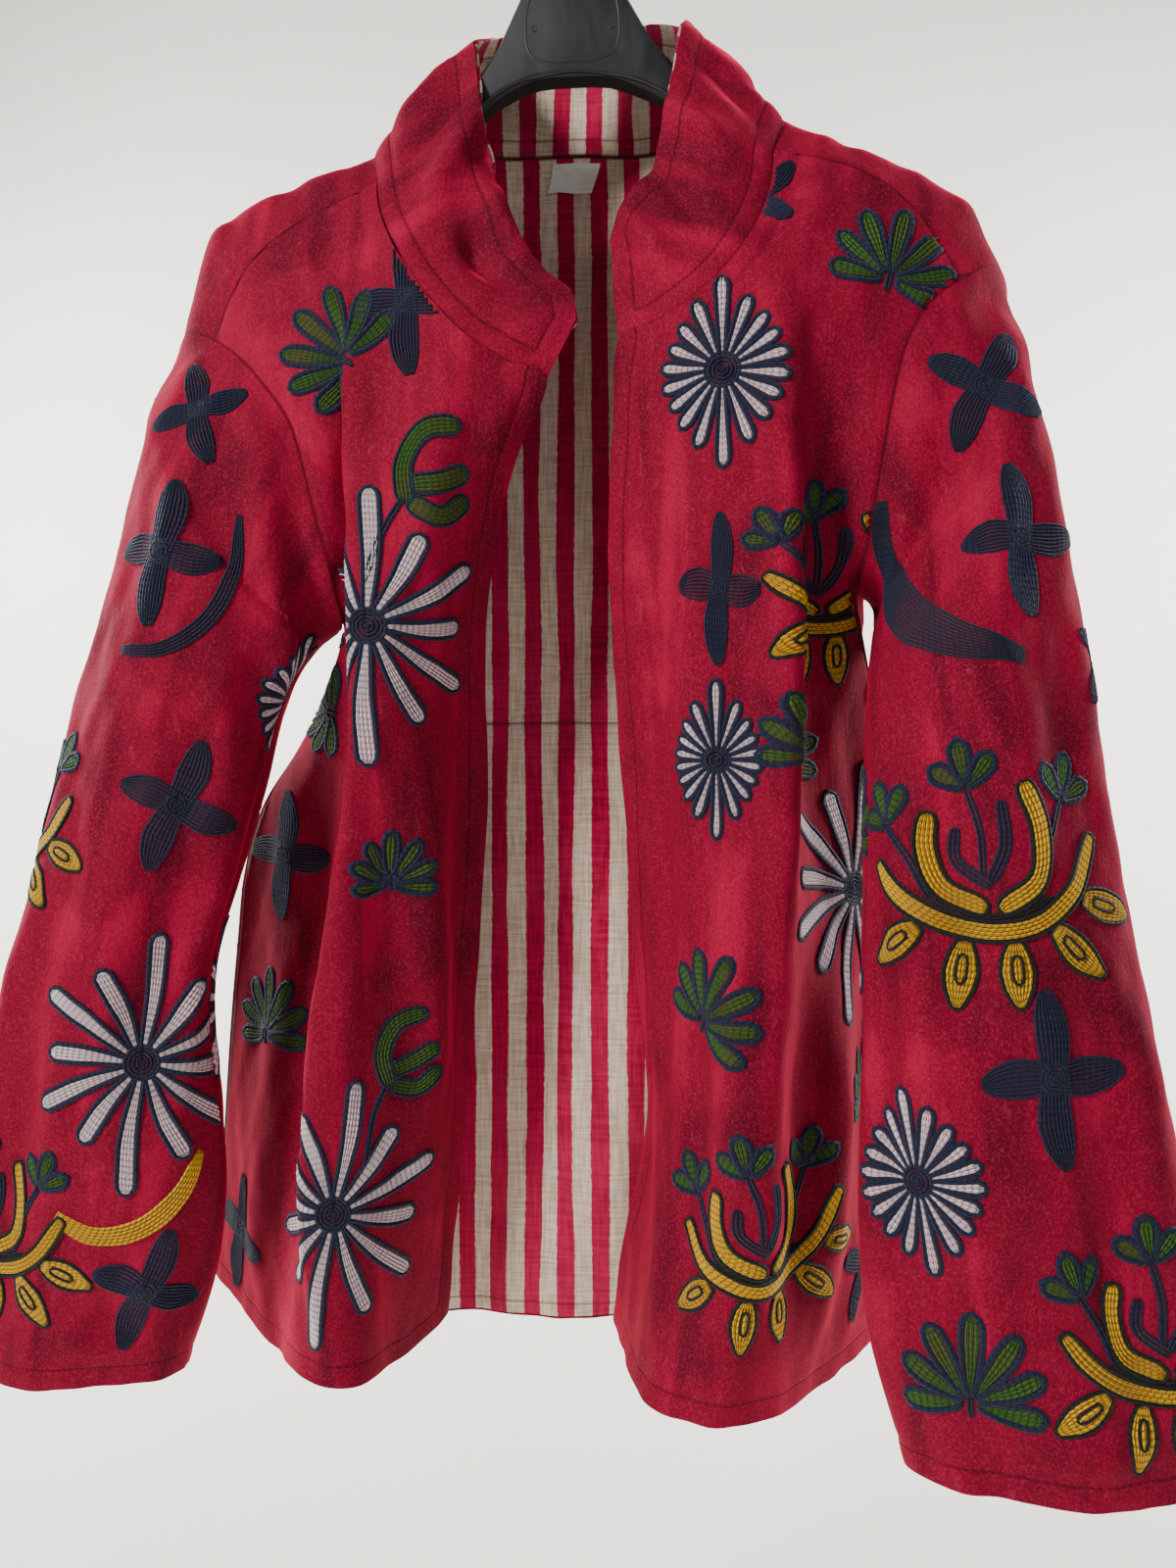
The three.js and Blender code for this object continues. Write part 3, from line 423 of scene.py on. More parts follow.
def back_rows():
    outer = {
        side: joined(SEAMS[side]["back_scye"], SCYE_BACK_ROWS, SEAMS[side]["side"], SIDE_ROWS)
        for side in ("right", "left")
    }
    top = np.vstack([
        shoulder_seam("right", SHOULDER_COLUMNS)[::-1][:-1],
        back_neck_seam(),
        shoulder_seam("left", SHOULDER_COLUMNS)[1:],
    ])
    row_knots = [0] + [row for row, _ in BACK_FOLDS]
    lines = [
        spline(row_knots, [top[column], *(points[k] for _, points in BACK_FOLDS)], range(BACK_ROWS + 1))
        for k, column in enumerate(BACK_FOLD_COLUMNS)
    ]
    knots = [0, *BACK_FOLD_COLUMNS, BACK_COLUMNS]
    columns = range(BACK_COLUMNS + 1)
    rows = [
        spline(knots, [outer["right"][i], *(line[i] for line in lines), outer["left"][i]], columns)
        for i in range(BACK_ROWS + 1)
    ]
    rows[0] = top
    return np.array(rows)


def smoothstep(x, low, high):
    t = np.clip((x - low) / (high - low), 0, 1)
    return t * t * (3 - 2 * t)


def sleeve_ring(ring, share):
    outer_x, outer_z, inner_x, inner_z, middle_y, depth = ring
    middle = np.array([(outer_x + inner_x) / 2, middle_y, (outer_z + inner_z) / 2])
    to_underarm = np.array([inner_x - outer_x, 0, inner_z - outer_z]) / 2
    turns = np.arange(SLEEVE_COLUMNS) / SLEEVE_COLUMNS
    angles = 2 * math.pi * turns
    points = middle + np.outer(np.cos(angles), to_underarm)
    points[:, 1] -= depth / 2 * np.sin(angles)
    inward = middle - points
    inward /= np.linalg.norm(inward, axis=1, keepdims=True)
    crease = sum(
        deep * smoothstep(share, start, start + CREASE_FADE) * np.exp(-(((turns - turn) / width) ** 2))
        for turn, deep, width, start in SLEEVE_CREASES
    )
    return points + inward * crease[:, None]


def sleeve_rows(side):
    front = along(SEAMS[side]["front_scye"], SCYE_FRONT_ROWS)[::-1]
    back = along(SEAMS[side]["back_scye"], SCYE_BACK_ROWS)
    rings = SLEEVE_RINGS[side]
    drawn = [sleeve_ring(ring, (i + 1) / len(rings)) for i, ring in enumerate(rings)]
    return np.array([np.vstack([front[:-1], back[:-1]]), *drawn])


def collar_rows():
    base = np.vstack([
        along(SEAMS["right"]["neckline"], NECK_ROWS)[::-1][:-1],
        back_neck_seam(),
        along(SEAMS["left"]["neckline"], NECK_ROWS)[1:],
    ])
    knots = [station[0] for station in COLLAR_STATIONS]
    columns = range(COLLAR_COLUMNS + 1)
    middle = spline(knots, [station[1] for station in COLLAR_STATIONS], columns)
    edge = spline(knots, [station[2] for station in COLLAR_STATIONS], columns)
    heights = np.linspace(0, 2, COLLAR_ROWS + 1)
    lines = [spline([0, 1, 2], line, heights) for line in zip(base, middle, edge)]
    return np.array(lines).transpose(1, 0, 2)


# Flat pattern of a panel: its cloth laid out, x across and y up


def lay_flat(points, flat):
    """Relaxes a first flat pattern until its threads have their own lengths."""
    pairs = [(np.s_[:, :-1], np.s_[:, 1:]), (np.s_[:-1], np.s_[1:]),
             (np.s_[:-1, :-1], np.s_[1:, 1:]), (np.s_[:-1, 1:], np.s_[1:, :-1])]
    lengths = [np.linalg.norm(points[b] - points[a], axis=2) for a, b in pairs]
    for _ in range(RELAX_STEPS):
        move = np.zeros_like(flat)
        for (a, b), length in zip(pairs, lengths):
            gap = flat[b] - flat[a]
            now = np.linalg.norm(gap, axis=2)
            pull = gap * ((now - length) / np.maximum(now, 1e-6))[..., None]
            move[a] += pull
            move[b] -= pull
        flat = flat + move * RELAX_SHARE
    return flat


RELAX_STEPS = 1500
RELAX_SHARE = 0.14


class Panel:
    """One cut piece of cloth: its surface as it hangs, its flat pattern and the distances to its edges.

    stitched names the edges that are turned under, seams those that join another piece, and sewn those with
    a line of stitches, where they aren't just the stitched ones.
    """

    def __init__(self, rows, outward, steps, start, cyclic=False, stitched=(), seams=(), creases=(),
                 sewn=None):
        self.sewn = sewn or stitched
        self.cyclic = cyclic
        self.outward = outward
        coarse = np.concatenate([rows, rows[:, :1]], axis=1) if cyclic else rows
        self.row_count, self.column_count = coarse.shape[0] - 1, coarse.shape[1] - 1
        self.rows = rows
        self.flat_rows = self.pattern(start)
        self.steps = steps
        self.stitched = stitched
        self.seams = seams
        self.creases = creases
        self.places = (np.linspace(0, self.row_count, self.row_count * steps[0] + 1),
                       np.linspace(0, self.column_count, self.column_count * steps[1] + 1))

    def surface(self, row_at, column_at):
        down = smooth_weights(self.row_count + 1, row_at)
        across = smooth_weights(self.rows.shape[1], column_at, self.cyclic)
        return np.einsum("ri,ijk,cj->rck", down, self.rows, across)

    def pattern(self, start):
        """The flat pattern at the panel's own rows and columns. start gives a first one to relax."""
        halves = [np.linspace(0, count, 2 * count + 1) for count in (self.row_count, self.column_count)]
        points = self.surface(*halves)
        return lay_flat(points, start(points))[::2, ::2]

    def flat(self, row_at, column_at):
        down = smooth_weights(self.row_count + 1, row_at)
        across = smooth_weights(self.column_count + 1, column_at)
        return np.einsum("ri,ijk,cj->rck", down, self.flat_rows, across)

    def edge_line(self, name):
        counts = (self.row_count, self.column_count)
        rows, columns = (np.linspace(0, count, EDGE_STEPS * count + 1) for count in counts)
        return {
            "top": lambda: self.flat([0], columns)[0],
            "bottom": lambda: self.flat([self.row_count], columns)[0],
            "first": lambda: self.flat(rows, [0])[:, 0],
            "last": lambda: self.flat(rows, [self.column_count])[:, 0],
            "free": lambda: self.flat(rows[rows >= NECK_ROWS], [0])[:, 0],
        }[name]()

    def distance(self, flat, names):
        """Flat distance from each point to the nearest of the named edges."""
        best = np.full(flat.shape[:2], FAR)
        for name in names:
            best = np.minimum(best, distance_to_line(flat, self.edge_line(name)))
        return best

    def hang(self, row_at, column_at):
        """Points and normals of the hanging cloth with its creases, and its flat pattern."""
        points = self.surface(row_at, column_at)
        normals = normals_of(points, self.outward, self.cyclic)
        flat = self.flat(row_at, column_at)
        to_edge, to_seam = self.distance(flat, self.stitched), self.distance(flat, self.seams)
        lift = sum((crease_lift(flat, crease) for crease in self.creases), unevenness(flat))
        lift *= smoothstep(to_seam, 0, SEAM_CALM)
        lift -= SEAM_DIP * np.exp(-((to_seam / SEAM_DIP_WIDTH) ** 2))
        lift += HEM_SWELL * (1 - smoothstep(to_edge, STITCH_INSET - SWELL_FADE, STITCH_INSET + 1))
        lift -= STITCH_DIP * np.exp(-(((to_edge - STITCH_INSET) / STITCH_DIP_WIDTH) ** 2))
        points = points + normals * lift[..., None]
        return points, normals_of(points, self.outward, self.cyclic), flat, to_edge, to_seam


# Further than any distance on a panel, and the points of an edge's line for each row or column
FAR = 1000.0
EDGE_STEPS = 8
# The cloth near a seam, a hem and a line of stitches, in millimetres
SEAM_CALM = 22.0
SEAM_DIP = 0.9
SEAM_DIP_WIDTH = 2.4
STITCH_INSET = 11.0
HEM_SWELL = 0.5
SWELL_FADE = 3.0
STITCH_DIP = 0.6
STITCH_DIP_WIDTH = 2.2
# The creases: what their heights are multiplied by, and how they fade at both ends
CREASE_STRENGTH = 1.7
CREASE_TIP = 0.02
CREASE_BLUNTNESS = 0.6


def distance_to_line(flat, line):
    spots = flat.reshape(-1, 2)
    best = np.full(len(spots), FAR)
    for a, b in zip(line[:-1], line[1:]):
        along_line = b - a
        t = np.clip((spots - a) @ along_line / max(along_line @ along_line, 1e-9), 0, 1)
        best = np.minimum(best, np.linalg.norm(spots - a - t[:, None] * along_line, axis=1))
    return best.reshape(flat.shape[:2])


def crease_lift(flat, crease):
    """A soft ridge (height above 0) or trough (below 0) along a flat line, which fades at its ends."""
    points, height, width = crease
    height *= CREASE_STRENGTH
    line = points_of(points)
    spots = flat.reshape(-1, 2)
    lengths = step_lengths(line)
    total, start = lengths.sum(), 0.0
    best, place = np.full(len(spots), FAR), np.zeros(len(spots))
    for a, b, length in zip(line[:-1], line[1:], lengths):
        t = np.clip((spots - a) @ (b - a) / (length * length), 0, 1)
        gap = np.linalg.norm(spots - a - t[:, None] * (b - a), axis=1)
        nearer = gap < best
        best = np.where(nearer, gap, best)
        place = np.where(nearer, (start + t * length) / total, place)
        start += length
    fade = np.sin(math.pi * np.clip(place, CREASE_TIP, 1 - CREASE_TIP)) ** CREASE_BLUNTNESS
    return (height * fade * np.exp(-((best / width) ** 2))).reshape(flat.shape[:2])


def unevenness(flat):
    """Slight waves of hanging cloth, longer down the cloth than across it."""
    x, y = flat[..., 0], flat[..., 1]
    total = 0.0
    for height, across, down, turn in UNEVEN_WAVES:
        total = total + height * np.sin(2 * math.pi * (x / across + y / down) + turn)
    return total


# Slight waves of the cloth: height, length across, length down, and phase
UNEVEN_WAVES = [
    (0.55, 74, 310, 0.4), (0.5, -53, 240, 1.9), (0.35, 39, 150, 3.1), (0.3, -31, 97, 5.0),
    (0.22, 23, 61, 2.2), (0.18, -19, 44, 0.9),
]


# Meshes

# Edges of the cloth that turn by more degrees than this stay sharp
EDGE_ANGLE = 60
# The edges of a grid of points that a wall closes: where each lies, and whether its faces turn over
RIMS = ((np.s_[0], False), (np.s_[-1], True), (np.s_[:, 0], True), (np.s_[:, -1], False))


def quads(a, b, c, d, flips):
    order = (a, d, c, b) if flips else (a, b, c, d)
    return np.stack([part.ravel() for part in order], axis=1)


def corners_of(table):
    return table[:-1, :-1], table[:-1, 1:], table[1:, 1:], table[1:, :-1]


def wall_mesh(name, outer, inner, flat, lines, outward, cyclic=False):
    """A closed wall of cloth between two grids of points, with its flat pattern and lines as UV maps."""
    rows, columns = outer.shape[:2]
    used = columns - 1 if cyclic else columns
    index = np.arange(rows * used).reshape(rows, used)
    if cyclic:
        index = np.hstack([index, index[:, :1]])
    grid = np.arange(rows * columns).reshape(rows, columns)
    layer = rows * used
    flips = outward < 0
    faces = [quads(*corners_of(index), flips), quads(*corners_of(index + layer), not flips)]
    places = [quads(*corners_of(grid), flips), quads(*corners_of(grid), not flips)]
    for cut, turned in RIMS[:2 if cyclic else 4]:
        a, b = index[cut][:-1], index[cut][1:]
        p, q = grid[cut][:-1], grid[cut][1:]
        faces.append(quads(a, a + layer, b + layer, b, flips ^ turned))
        places.append(quads(p, p, q, q, flips ^ turned))
    vertices = np.vstack([outer[:, :used].reshape(-1, 3), inner[:, :used].reshape(-1, 3)]) * MM
    piece = new_piece(name, vertices, np.vstack(faces).tolist())
    place = np.vstack(places).ravel()
    give_uv(piece, "cloth", flat.reshape(-1, 2)[place] * MM)
    give_uv(piece, "lines", lines.reshape(-1, 2)[place] * MM)
    piece.data.set_sharp_from_angle(angle=math.radians(EDGE_ANGLE))
    return piece


def put_in_scene(name, data):
    thing = bpy.data.objects.new(name, data)
    bpy.context.scene.collection.objects.link(thing)
    return thing


def new_piece(name, vertices, faces):
    mesh = bpy.data.meshes.new(name)
    mesh.from_pydata(vertices.tolist(), [], faces)
    mesh.update()
    mesh.polygons.foreach_set("use_smooth", np.ones(len(mesh.polygons), bool))
    return put_in_scene(name, mesh)


def give_uv(piece, name, places):
    layer = piece.data.uv_layers.new(name=name)
    layer.data.foreach_set("uv", places.astype(np.float32).ravel())


def cloth_layer(name, panel, depths, row_at, column_at, material, slot, node, shape=None, join=None):
    """One layer of a panel, between two depths below its surface, in place of its CAD solid.

    shape adds depth from the flat pattern, and join is a row where two pieces of the layer are sewn.
    """
    points, normals, flat, to_edge, to_seam = panel.hang(row_at, column_at)
    depth = np.zeros(flat.shape[:2]) if shape is None else shape(flat, to_edge, to_seam)
    outer = points - normals * (depths[0] + depth)[..., None]
    inner = points - normals * (depths[1] + depth)[..., None]
    if join is not None:
        columns = np.linspace(0, panel.column_count, EDGE_STEPS * panel.column_count + 1)
        seam_line = panel.flat([join], columns)[0]
        to_seam = np.minimum(to_seam, distance_to_line(flat, seam_line))
    lines = np.dstack([panel.distance(flat, panel.sewn), to_seam])
    piece = wall_mesh(name, outer, inner, flat, lines, panel.outward, panel.cyclic)
    piece.data.materials.append(material)
    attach(piece, "root")
    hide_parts(node)
    return piece


def between(first, last, steps):
    return np.linspace(first, last, max(2, int(round((last - first) * steps)) + 1))


# Materials

# The names of the finish's sockets, which are set on the shader itself
SOCKETS = {
    "roughness": "Roughness", "specular": "Specular IOR Level", "metallic": "Metallic",
    "sheen": "Sheen Weight", "sheen_roughness": "Sheen Roughness", "sheen_tint": "Sheen Tint",
}


def finish(shader, **values):
    for name, value in values.items():
        shader.inputs[SOCKETS[name]].default_value = value


def new_material(name):
    material = bpy.data.materials.new(name)
    material.use_nodes = True
    tree = material.node_tree
    shader = next(n for n in tree.nodes if n.type == "BSDF_PRINCIPLED")
    return material, tree, shader


def add_node(tree, kind, **settings):
    node = tree.nodes.new(kind)
    for name, value in settings.items():
        setattr(node, name, value)
    return node


def feed(tree, socket, value):
    if isinstance(value, bpy.types.NodeSocket):
        tree.links.new(value, socket)
    else:
        socket.default_value = value


def maths(tree, operation, first, second=0.0, third=0.0):
    node = add_node(tree, "ShaderNodeMath", operation=operation)
    for socket, value in zip(node.inputs, (first, second, third)):
        feed(tree, socket, value)
    return node.outputs[0]


def times(tree, first, second):
    return maths(tree, "MULTIPLY", first, second)


def plus(tree, first, second):
    return maths(tree, "ADD", first, second)


def ramp(tree, value, low, high, out_low=0.0, out_high=1.0):
    """value eased from out_low at low to out_high at high."""
    node = add_node(tree, "ShaderNodeMapRange", interpolation_type="SMOOTHSTEP")
    for socket, each in zip(node.inputs, (value, low, high, out_low, out_high)):
        feed(tree, socket, each)
    return node.outputs[0]


def noise(tree, place, scale, detail=3.0, stretch=(1, 1, 1), distortion=0.0):
    mapping = add_node(tree, "ShaderNodeMapping")
    feed(tree, mapping.inputs["Vector"], place)
    mapping.inputs["Scale"].default_value = stretch
    node = add_node(tree, "ShaderNodeTexNoise")
    feed(tree, node.inputs["Vector"], mapping.outputs[0])
    node.inputs["Scale"].default_value = scale
    node.inputs["Detail"].default_value = detail
    node.inputs["Distortion"].default_value = distortion
    return node.outputs["Fac"]


def blend(tree, share, first, second, kind="MIX"):
    node = add_node(tree, "ShaderNodeMix", data_type="RGBA", blend_type=kind)
    feed(tree, node.inputs[0], share)
    feed(tree, node.inputs[6], first)
    feed(tree, node.inputs[7], second)
    return node.outputs[2]


def bump(tree, shader, height, strength, distance):
    node = add_node(tree, "ShaderNodeBump")
    feed(tree, node.inputs["Height"], height)
    node.inputs["Strength"].default_value = strength
    node.inputs["Distance"].default_value = distance
    feed(tree, shader.inputs["Normal"], node.outputs[0])


def colour(code):
    """A colour from its six-figure code, in linear light."""
    parts = [int(code[k:k + 2], 16) / 255 for k in (0, 2, 4)]
    return (*((c / 12.92 if c < 0.04045 else ((c + 0.055) / 1.055) ** 2.4) for c in parts), 1.0)


def uv_place(tree, name):
    return add_node(tree, "ShaderNodeUVMap", uv_map=name).outputs[0]


def object_place(tree):
    return add_node(tree, "ShaderNodeTexCoord").outputs["Object"]


def parts_of(tree, vector):
    node = add_node(tree, "ShaderNodeSeparateXYZ")
    feed(tree, node.inputs[0], vector)
    return node.outputs


def stitched_groove(tree, distance, at, half):
    """1 on the line that lies at a distance from an edge, 0 away from it."""
    off = maths(tree, "ABSOLUTE", maths(tree, "SUBTRACT", distance, at * MM))
    return ramp(tree, off, half * MM * 0.3, half * MM, 1.0, 0.0)


def velvet_material():
    """Crimson cotton velvet: a speckled pile, streaks of nap down the cloth, quiet stitch lines darkened with
    painted shade in their dents, and dark seam lines.
    """
    material, tree, shader = new_material("crimson_velvet")
    place = object_place(tree)
    cloth = uv_place(tree, "cloth")
    edges = parts_of(tree, uv_place(tree, "lines"))
    patches = noise(tree, place, 11, 5, distortion=1.1)
    streaks = noise(tree, cloth, 46, 5, (1, 0.13, 1), 0.5)
    pile = noise(tree, place, 900, 4)
    lint = noise(tree, place, 210, 5, (1, 1, 0.4), 1.2)
    nap = plus(tree, times(tree, patches, 0.45), times(tree, streaks, 0.55))
    base = blend(tree, ramp(tree, nap, 0.37, 0.5), colour("5A001B"), colour("7C0326"))
    base = blend(tree, ramp(tree, nap, 0.5, 0.64), base, colour("9E0A34"))
    base = blend(tree, ramp(tree, pile, 0.46, 0.68, 0.0, 0.32), base, colour("BC2850"))
    base = blend(tree, ramp(tree, pile, 0.3, 0.46, 0.3, 0.0), base, colour("480018"))
    base = blend(tree, ramp(tree, lint, 0.62, 0.74, 0.0, 0.14), base, colour("C04A64"))
    groove = stitched_groove(tree, edges[0], STITCH_INSET, 1.1)
    wave = times(tree, plus(tree, *parts_of(tree, cloth)[:2]), 2 * math.pi / (STITCH_LENGTH * MM))
    dash = ramp(tree, maths(tree, "SINE", wave), -0.7, 0.2, 0.25, 0.6)
    seam = ramp(tree, edges[1], 0.0, 1.5 * MM, 0.6, 0.0)
    # Painted shade: the dark colour fills the dent of each stitch line in dashes; at the seams it marks the
    # seam line itself
    dark = maths(tree, "MAXIMUM", times(tree, groove, dash), seam)
    base = blend(tree, dark, base, colour("380010"))
    feed(tree, shader.inputs["Base Color"], base)
    finish(shader, roughness=0.85, specular=0.15, sheen=0.85, sheen_roughness=0.32,
           sheen_tint=colour("FF2A5E"))
    height = plus(tree, times(tree, pile, 0.5), times(tree, lint, 0.8))
    bump(tree, shader, maths(tree, "SUBTRACT", height, times(tree, groove, 0.8)), 0.5, 0.0008)
    return material


# The stitches, the stripes, the lining's hem and its weave, in millimetres
STITCH_LENGTH = 3.4
STRIPE = 10.2
LINING_HEM = 10.0
THREAD_PITCH = 0.62


def striped_cotton_material(name, start):
    """Magenta and cream stripes along the cloth, woven in slubby cotton."""
    material, tree, shader = new_material(name)
    cloth = uv_place(tree, "cloth")
    x, y = parts_of(tree, cloth)[:2]
    fray = times(tree, maths(tree, "SUBTRACT", noise(tree, cloth, 260, 2), 0.5), 1.4 * MM)
    across = plus(tree, plus(tree, x, fray), start * MM)
    turns = maths(tree, "SINE", times(tree, across, math.pi / (STRIPE * MM)))
    stripe = ramp(tree, turns, -0.09, 0.09)
    slubs = noise(tree, cloth, 620, 2, (1, 0.07, 1))
    picks = noise(tree, cloth, 620, 2, (0.07, 1, 1))
    weave = times(tree, plus(tree, slubs, picks), 0.5)
    fade = noise(tree, cloth, 14, 3)
    magenta = blend(tree, ramp(tree, weave, 0.36, 0.62), colour("96002F"), colour("BF0A48"))
    magenta = blend(tree, ramp(tree, fade, 0.4, 0.7, 0.0, 0.25), magenta, colour("D0305F"))
    cream = blend(tree, ramp(tree, weave, 0.36, 0.62), colour("C4A890"), colour("E6D2C2"))
    base = blend(tree, stripe, magenta, cream)
    edges = parts_of(tree, uv_place(tree, "lines"))
    seam = ramp(tree, edges[1], 0.0, 1.3 * MM, 0.75, 0.0)
    hem = times(tree, stitched_groove(tree, edges[0], LINING_HEM, 0.9), 0.6)
    base = blend(tree, maths(tree, "MAXIMUM", seam, hem), base, colour("5A0A20"))
    feed(tree, shader.inputs["Base Color"], base)
    finish(shader, roughness=0.88, specular=0.15, sheen=0.15)
    warp = maths(tree, "SINE", times(tree, x, 2 * math.pi / (THREAD_PITCH * MM)))
    weft = maths(tree, "SINE", times(tree, y, 2 * math.pi / (THREAD_PITCH * MM)))
    height = plus(tree, times(tree, times(tree, warp, weft), 0.25), weave)
    bump(tree, shader, height, 0.5, 0.0005)
    return material


def thread_material(name, light, dark):
    """Embroidery thread: chain links that follow the row's own UV, along (x) and across, -1 to 1 (y). Its
    dark colour is painted shade in the hollows between the links and down the middle of the row.
    """
    material, tree, shader = new_material(name)
    u, v = parts_of(tree, uv_place(tree, "stitch"))[:2]
    off = maths(tree, "ABSOLUTE", v)
    link = maths(tree, "FRACT", plus(tree, u, times(tree, off, -0.45)))
    loop = times(tree, ramp(tree, link, 0.0, 0.22), ramp(tree, link, 0.8, 1.0, 1.0, 0.35))
    strands = ramp(tree, off, 0.0, 0.4, 0.25, 1.0)
    height = times(tree, loop, strands)
    fibre = noise(tree, object_place(tree), 1400, 2)
    # Painted shade: the low parts of the links take the dark colour and the raised loops the light one, with
    # random fibre tone on top
    share = times(tree, ramp(tree, height, 0.1, 0.75), ramp(tree, fibre, 0.3, 0.6, 0.7, 1.0))
    feed(tree, shader.inputs["Base Color"], blend(tree, share, colour(dark), colour(light)))
    finish(shader, roughness=0.75, specular=0.3, sheen=0.06, sheen_roughness=0.5)
    bump(tree, shader, height, 0.9, 0.0008)
    return material


def plastic_material():
    material, tree, shader = new_material("black_plastic")
    place = object_place(tree)
    scuffs = noise(tree, place, 90, 5, (1, 1, 0.3), 0.5)
    grain = noise(tree, place, 2600, 2)
    base = blend(tree, ramp(tree, scuffs, 0.5, 0.75), colour("17191B"), colour("232629"))
    feed(tree, shader.inputs["Base Color"], base)
    feed(tree, shader.inputs["Roughness"], ramp(tree, scuffs, 0.3, 0.7, 0.42, 0.58))
    bump(tree, shader, plus(tree, grain, times(tree, scuffs, 0.4)), 0.25, 0.0003)
    return material


def steel_material():
    material, tree, shader = new_material("hook_steel")
    place = object_place(tree)
    brushed = noise(tree, place, 500, 3, (0.15, 1, 1))
    feed(tree, shader.inputs["Base Color"],
         blend(tree, ramp(tree, brushed, 0.3, 0.7), colour("A8A9AC"), colour("CFD0D2")))
    feed(tree, shader.inputs["Roughness"], ramp(tree, brushed, 0.3, 0.7, 0.22, 0.36))
    finish(shader, metallic=1.0)
    bump(tree, shader, brushed, 0.15, 0.0002)
    return material


def tape_material():
    material, tree, shader = new_material("label_satin")
    cloth = uv_place(tree, "cloth")
    ribs = noise(tree, cloth, 900, 2, (0.1, 1, 1))
    feed(tree, shader.inputs["Base Color"],
         blend(tree, ramp(tree, ribs, 0.3, 0.7), colour("E2E0DA"), colour("F4F2EE")))
    finish(shader, roughness=0.55, sheen=0.2)
    bump(tree, shader, ribs, 0.3, 0.0003)
    return material


# Embroidery. Each motif is drawn flat, in millimetres with y up, as rows of chain stitch.

# The rows of stitches, and a row's half-round section: across, then whether it stands up
ROW_WIDTH = 2.0
ROW_LEAST = 0.3
OUTLINE_WIDTH = 2.2
STITCH_STEP = 2.7
LINK_LENGTH = 3.2
ROW_HEIGHT = 0.85
OUTLINE_HEIGHT = 0.95
ROW_SINK = 0.35
SECTION = ((-1.0, 0.0), (-0.55, 1.0), (0.55, 1.0), (1.0, 0.0))

# Half widths along a shape: share of its length, then share of its greatest half width
PROFILES = {
    "ray": ((0, 0.22), (0.3, 0.62), (0.6, 0.95), (0.94, 1), (0.98, 0.75), (1, 0.4)),
    "wedge": ((0, 0.12), (0.5, 0.62), (0.84, 1), (0.94, 0.92), (1, 0.45)),
    "band": ((0, 0.5), (0.04, 0.85), (0.1, 1), (0.9, 1), (0.96, 0.85), (1, 0.5)),
    "leaf": ((0, 0.2), (0.35, 0.68), (0.68, 1), (0.88, 0.94), (0.96, 0.7), (1, 0.35)),
    "drop": ((0, 0.35), (0.2, 0.78), (0.45, 1), (0.7, 0.84), (0.9, 0.45), (1, 0.2)),
    "arm": ((0, 0.72), (0.25, 0.86), (0.5, 1), (0.75, 0.84), (0.92, 0.52), (1, 0.25)),
    "sickle": ((0, 0.5), (0.08, 0.75), (0.4, 1), (0.65, 1), (0.9, 0.7), (1, 0.35)),
    "crescent": ((0, 0.28), (0.15, 0.42), (0.42, 1), (0.6, 1), (0.85, 0.62), (1, 0.3)),
}


def flat_curve(points):
    """Evenly spaced flat points, a stitch apart, along the curve through some points."""
    path = np.column_stack([points_of(points), np.zeros(len(points))])
    length = step_lengths(path).sum()
    return along(path, max(3, int(round(length / STITCH_STEP))))[:, :2]


def sideways(line):
    tangent = np.gradient(line, axis=0)
    tangent /= np.maximum(np.linalg.norm(tangent, axis=1, keepdims=True), 1e-9)
    return np.column_stack([-tangent[:, 1], tangent[:, 0]])


def shape(points, half, profile, fill, outline=None, edge=OUTLINE_WIDTH):
    """Rows of stitches that fill a shape drawn along a curve, and one row round it, edge wide."""
    line = flat_curve(points)
    shares = np.linspace(0, 1, len(line))
    halves = half * np.interp(shares, *zip(*PROFILES[profile]))
    side = sideways(line)
    count = max(1, int(round(2 * half / ROW_WIDTH)))
    rows = []
    for k in range(count):
        across = (2 * k + 1) / count - 1
        middle = line + side * (halves * across)[:, None]
        rows.append((middle, np.maximum(halves / count, ROW_LEAST), fill, ROW_HEIGHT))
    if outline:
        reach = (halves + edge * 0.45)[:, None]
        ends = (line[-1] - line[-2]) / STITCH_STEP * edge * 0.5
        starts = (line[0] - line[1]) / STITCH_STEP * edge * 0.3
        loop = np.vstack([line[:1] + starts, line + side * reach, line[-1:] + ends,
                          (line - side * reach)[::-1], line[:1] + starts])
        rows.append((loop, np.full(len(loop), edge / 2), outline, OUTLINE_HEIGHT))
    return rows


def polar(radius, degrees):
    """A flat point at a distance and a clock direction: 0 is up and 90 is to the right."""
    angle = math.radians(degrees)
    return (radius * math.sin(angle), radius * math.cos(angle))


def disc(radius, thread):
    rows = []
    for ring in np.arange(ROW_WIDTH / 2, radius, ROW_WIDTH):
        angles = np.linspace(0, 360, max(7, int(2 * math.pi * ring / STITCH_STEP)))
        loop = points_of([polar(ring, angle) for angle in angles])
        rows.append((loop, np.full(len(loop), ROW_WIDTH / 2), thread, OUTLINE_HEIGHT + 0.1))
    return rows


def star(size, narrow=1.0):
    """Four leaf-like arms, curved a little, that may be drawn narrower than they are tall."""
    rows = disc(0.1 * size, "navy")
    for k, reach in enumerate((0.54, 0.47, 0.56, 0.45)):
        tip = polar(reach * size, 90 * k + 3)
        bend = polar(reach * size * 0.5, 90 * k + 9)
        rows += shape([polar(0.01 * size, 90 * k + 180), bend, tip], 0.128 * size, "arm", "navy")
    return [(line * (narrow, 1), halves * math.sqrt(narrow), *rest) for line, halves, *rest in rows]


def crescent(size, thread="navy", thick=0.075, profile="crescent"):
    spine = [(-0.5 * size, 0.2 * size), (-0.36 * size, -0.02 * size), (-0.08 * size, -0.13 * size),
             (0.24 * size, -0.07 * size), (0.5 * size, 0.1 * size)]
    return shape(spine, thick * size, profile, thread)


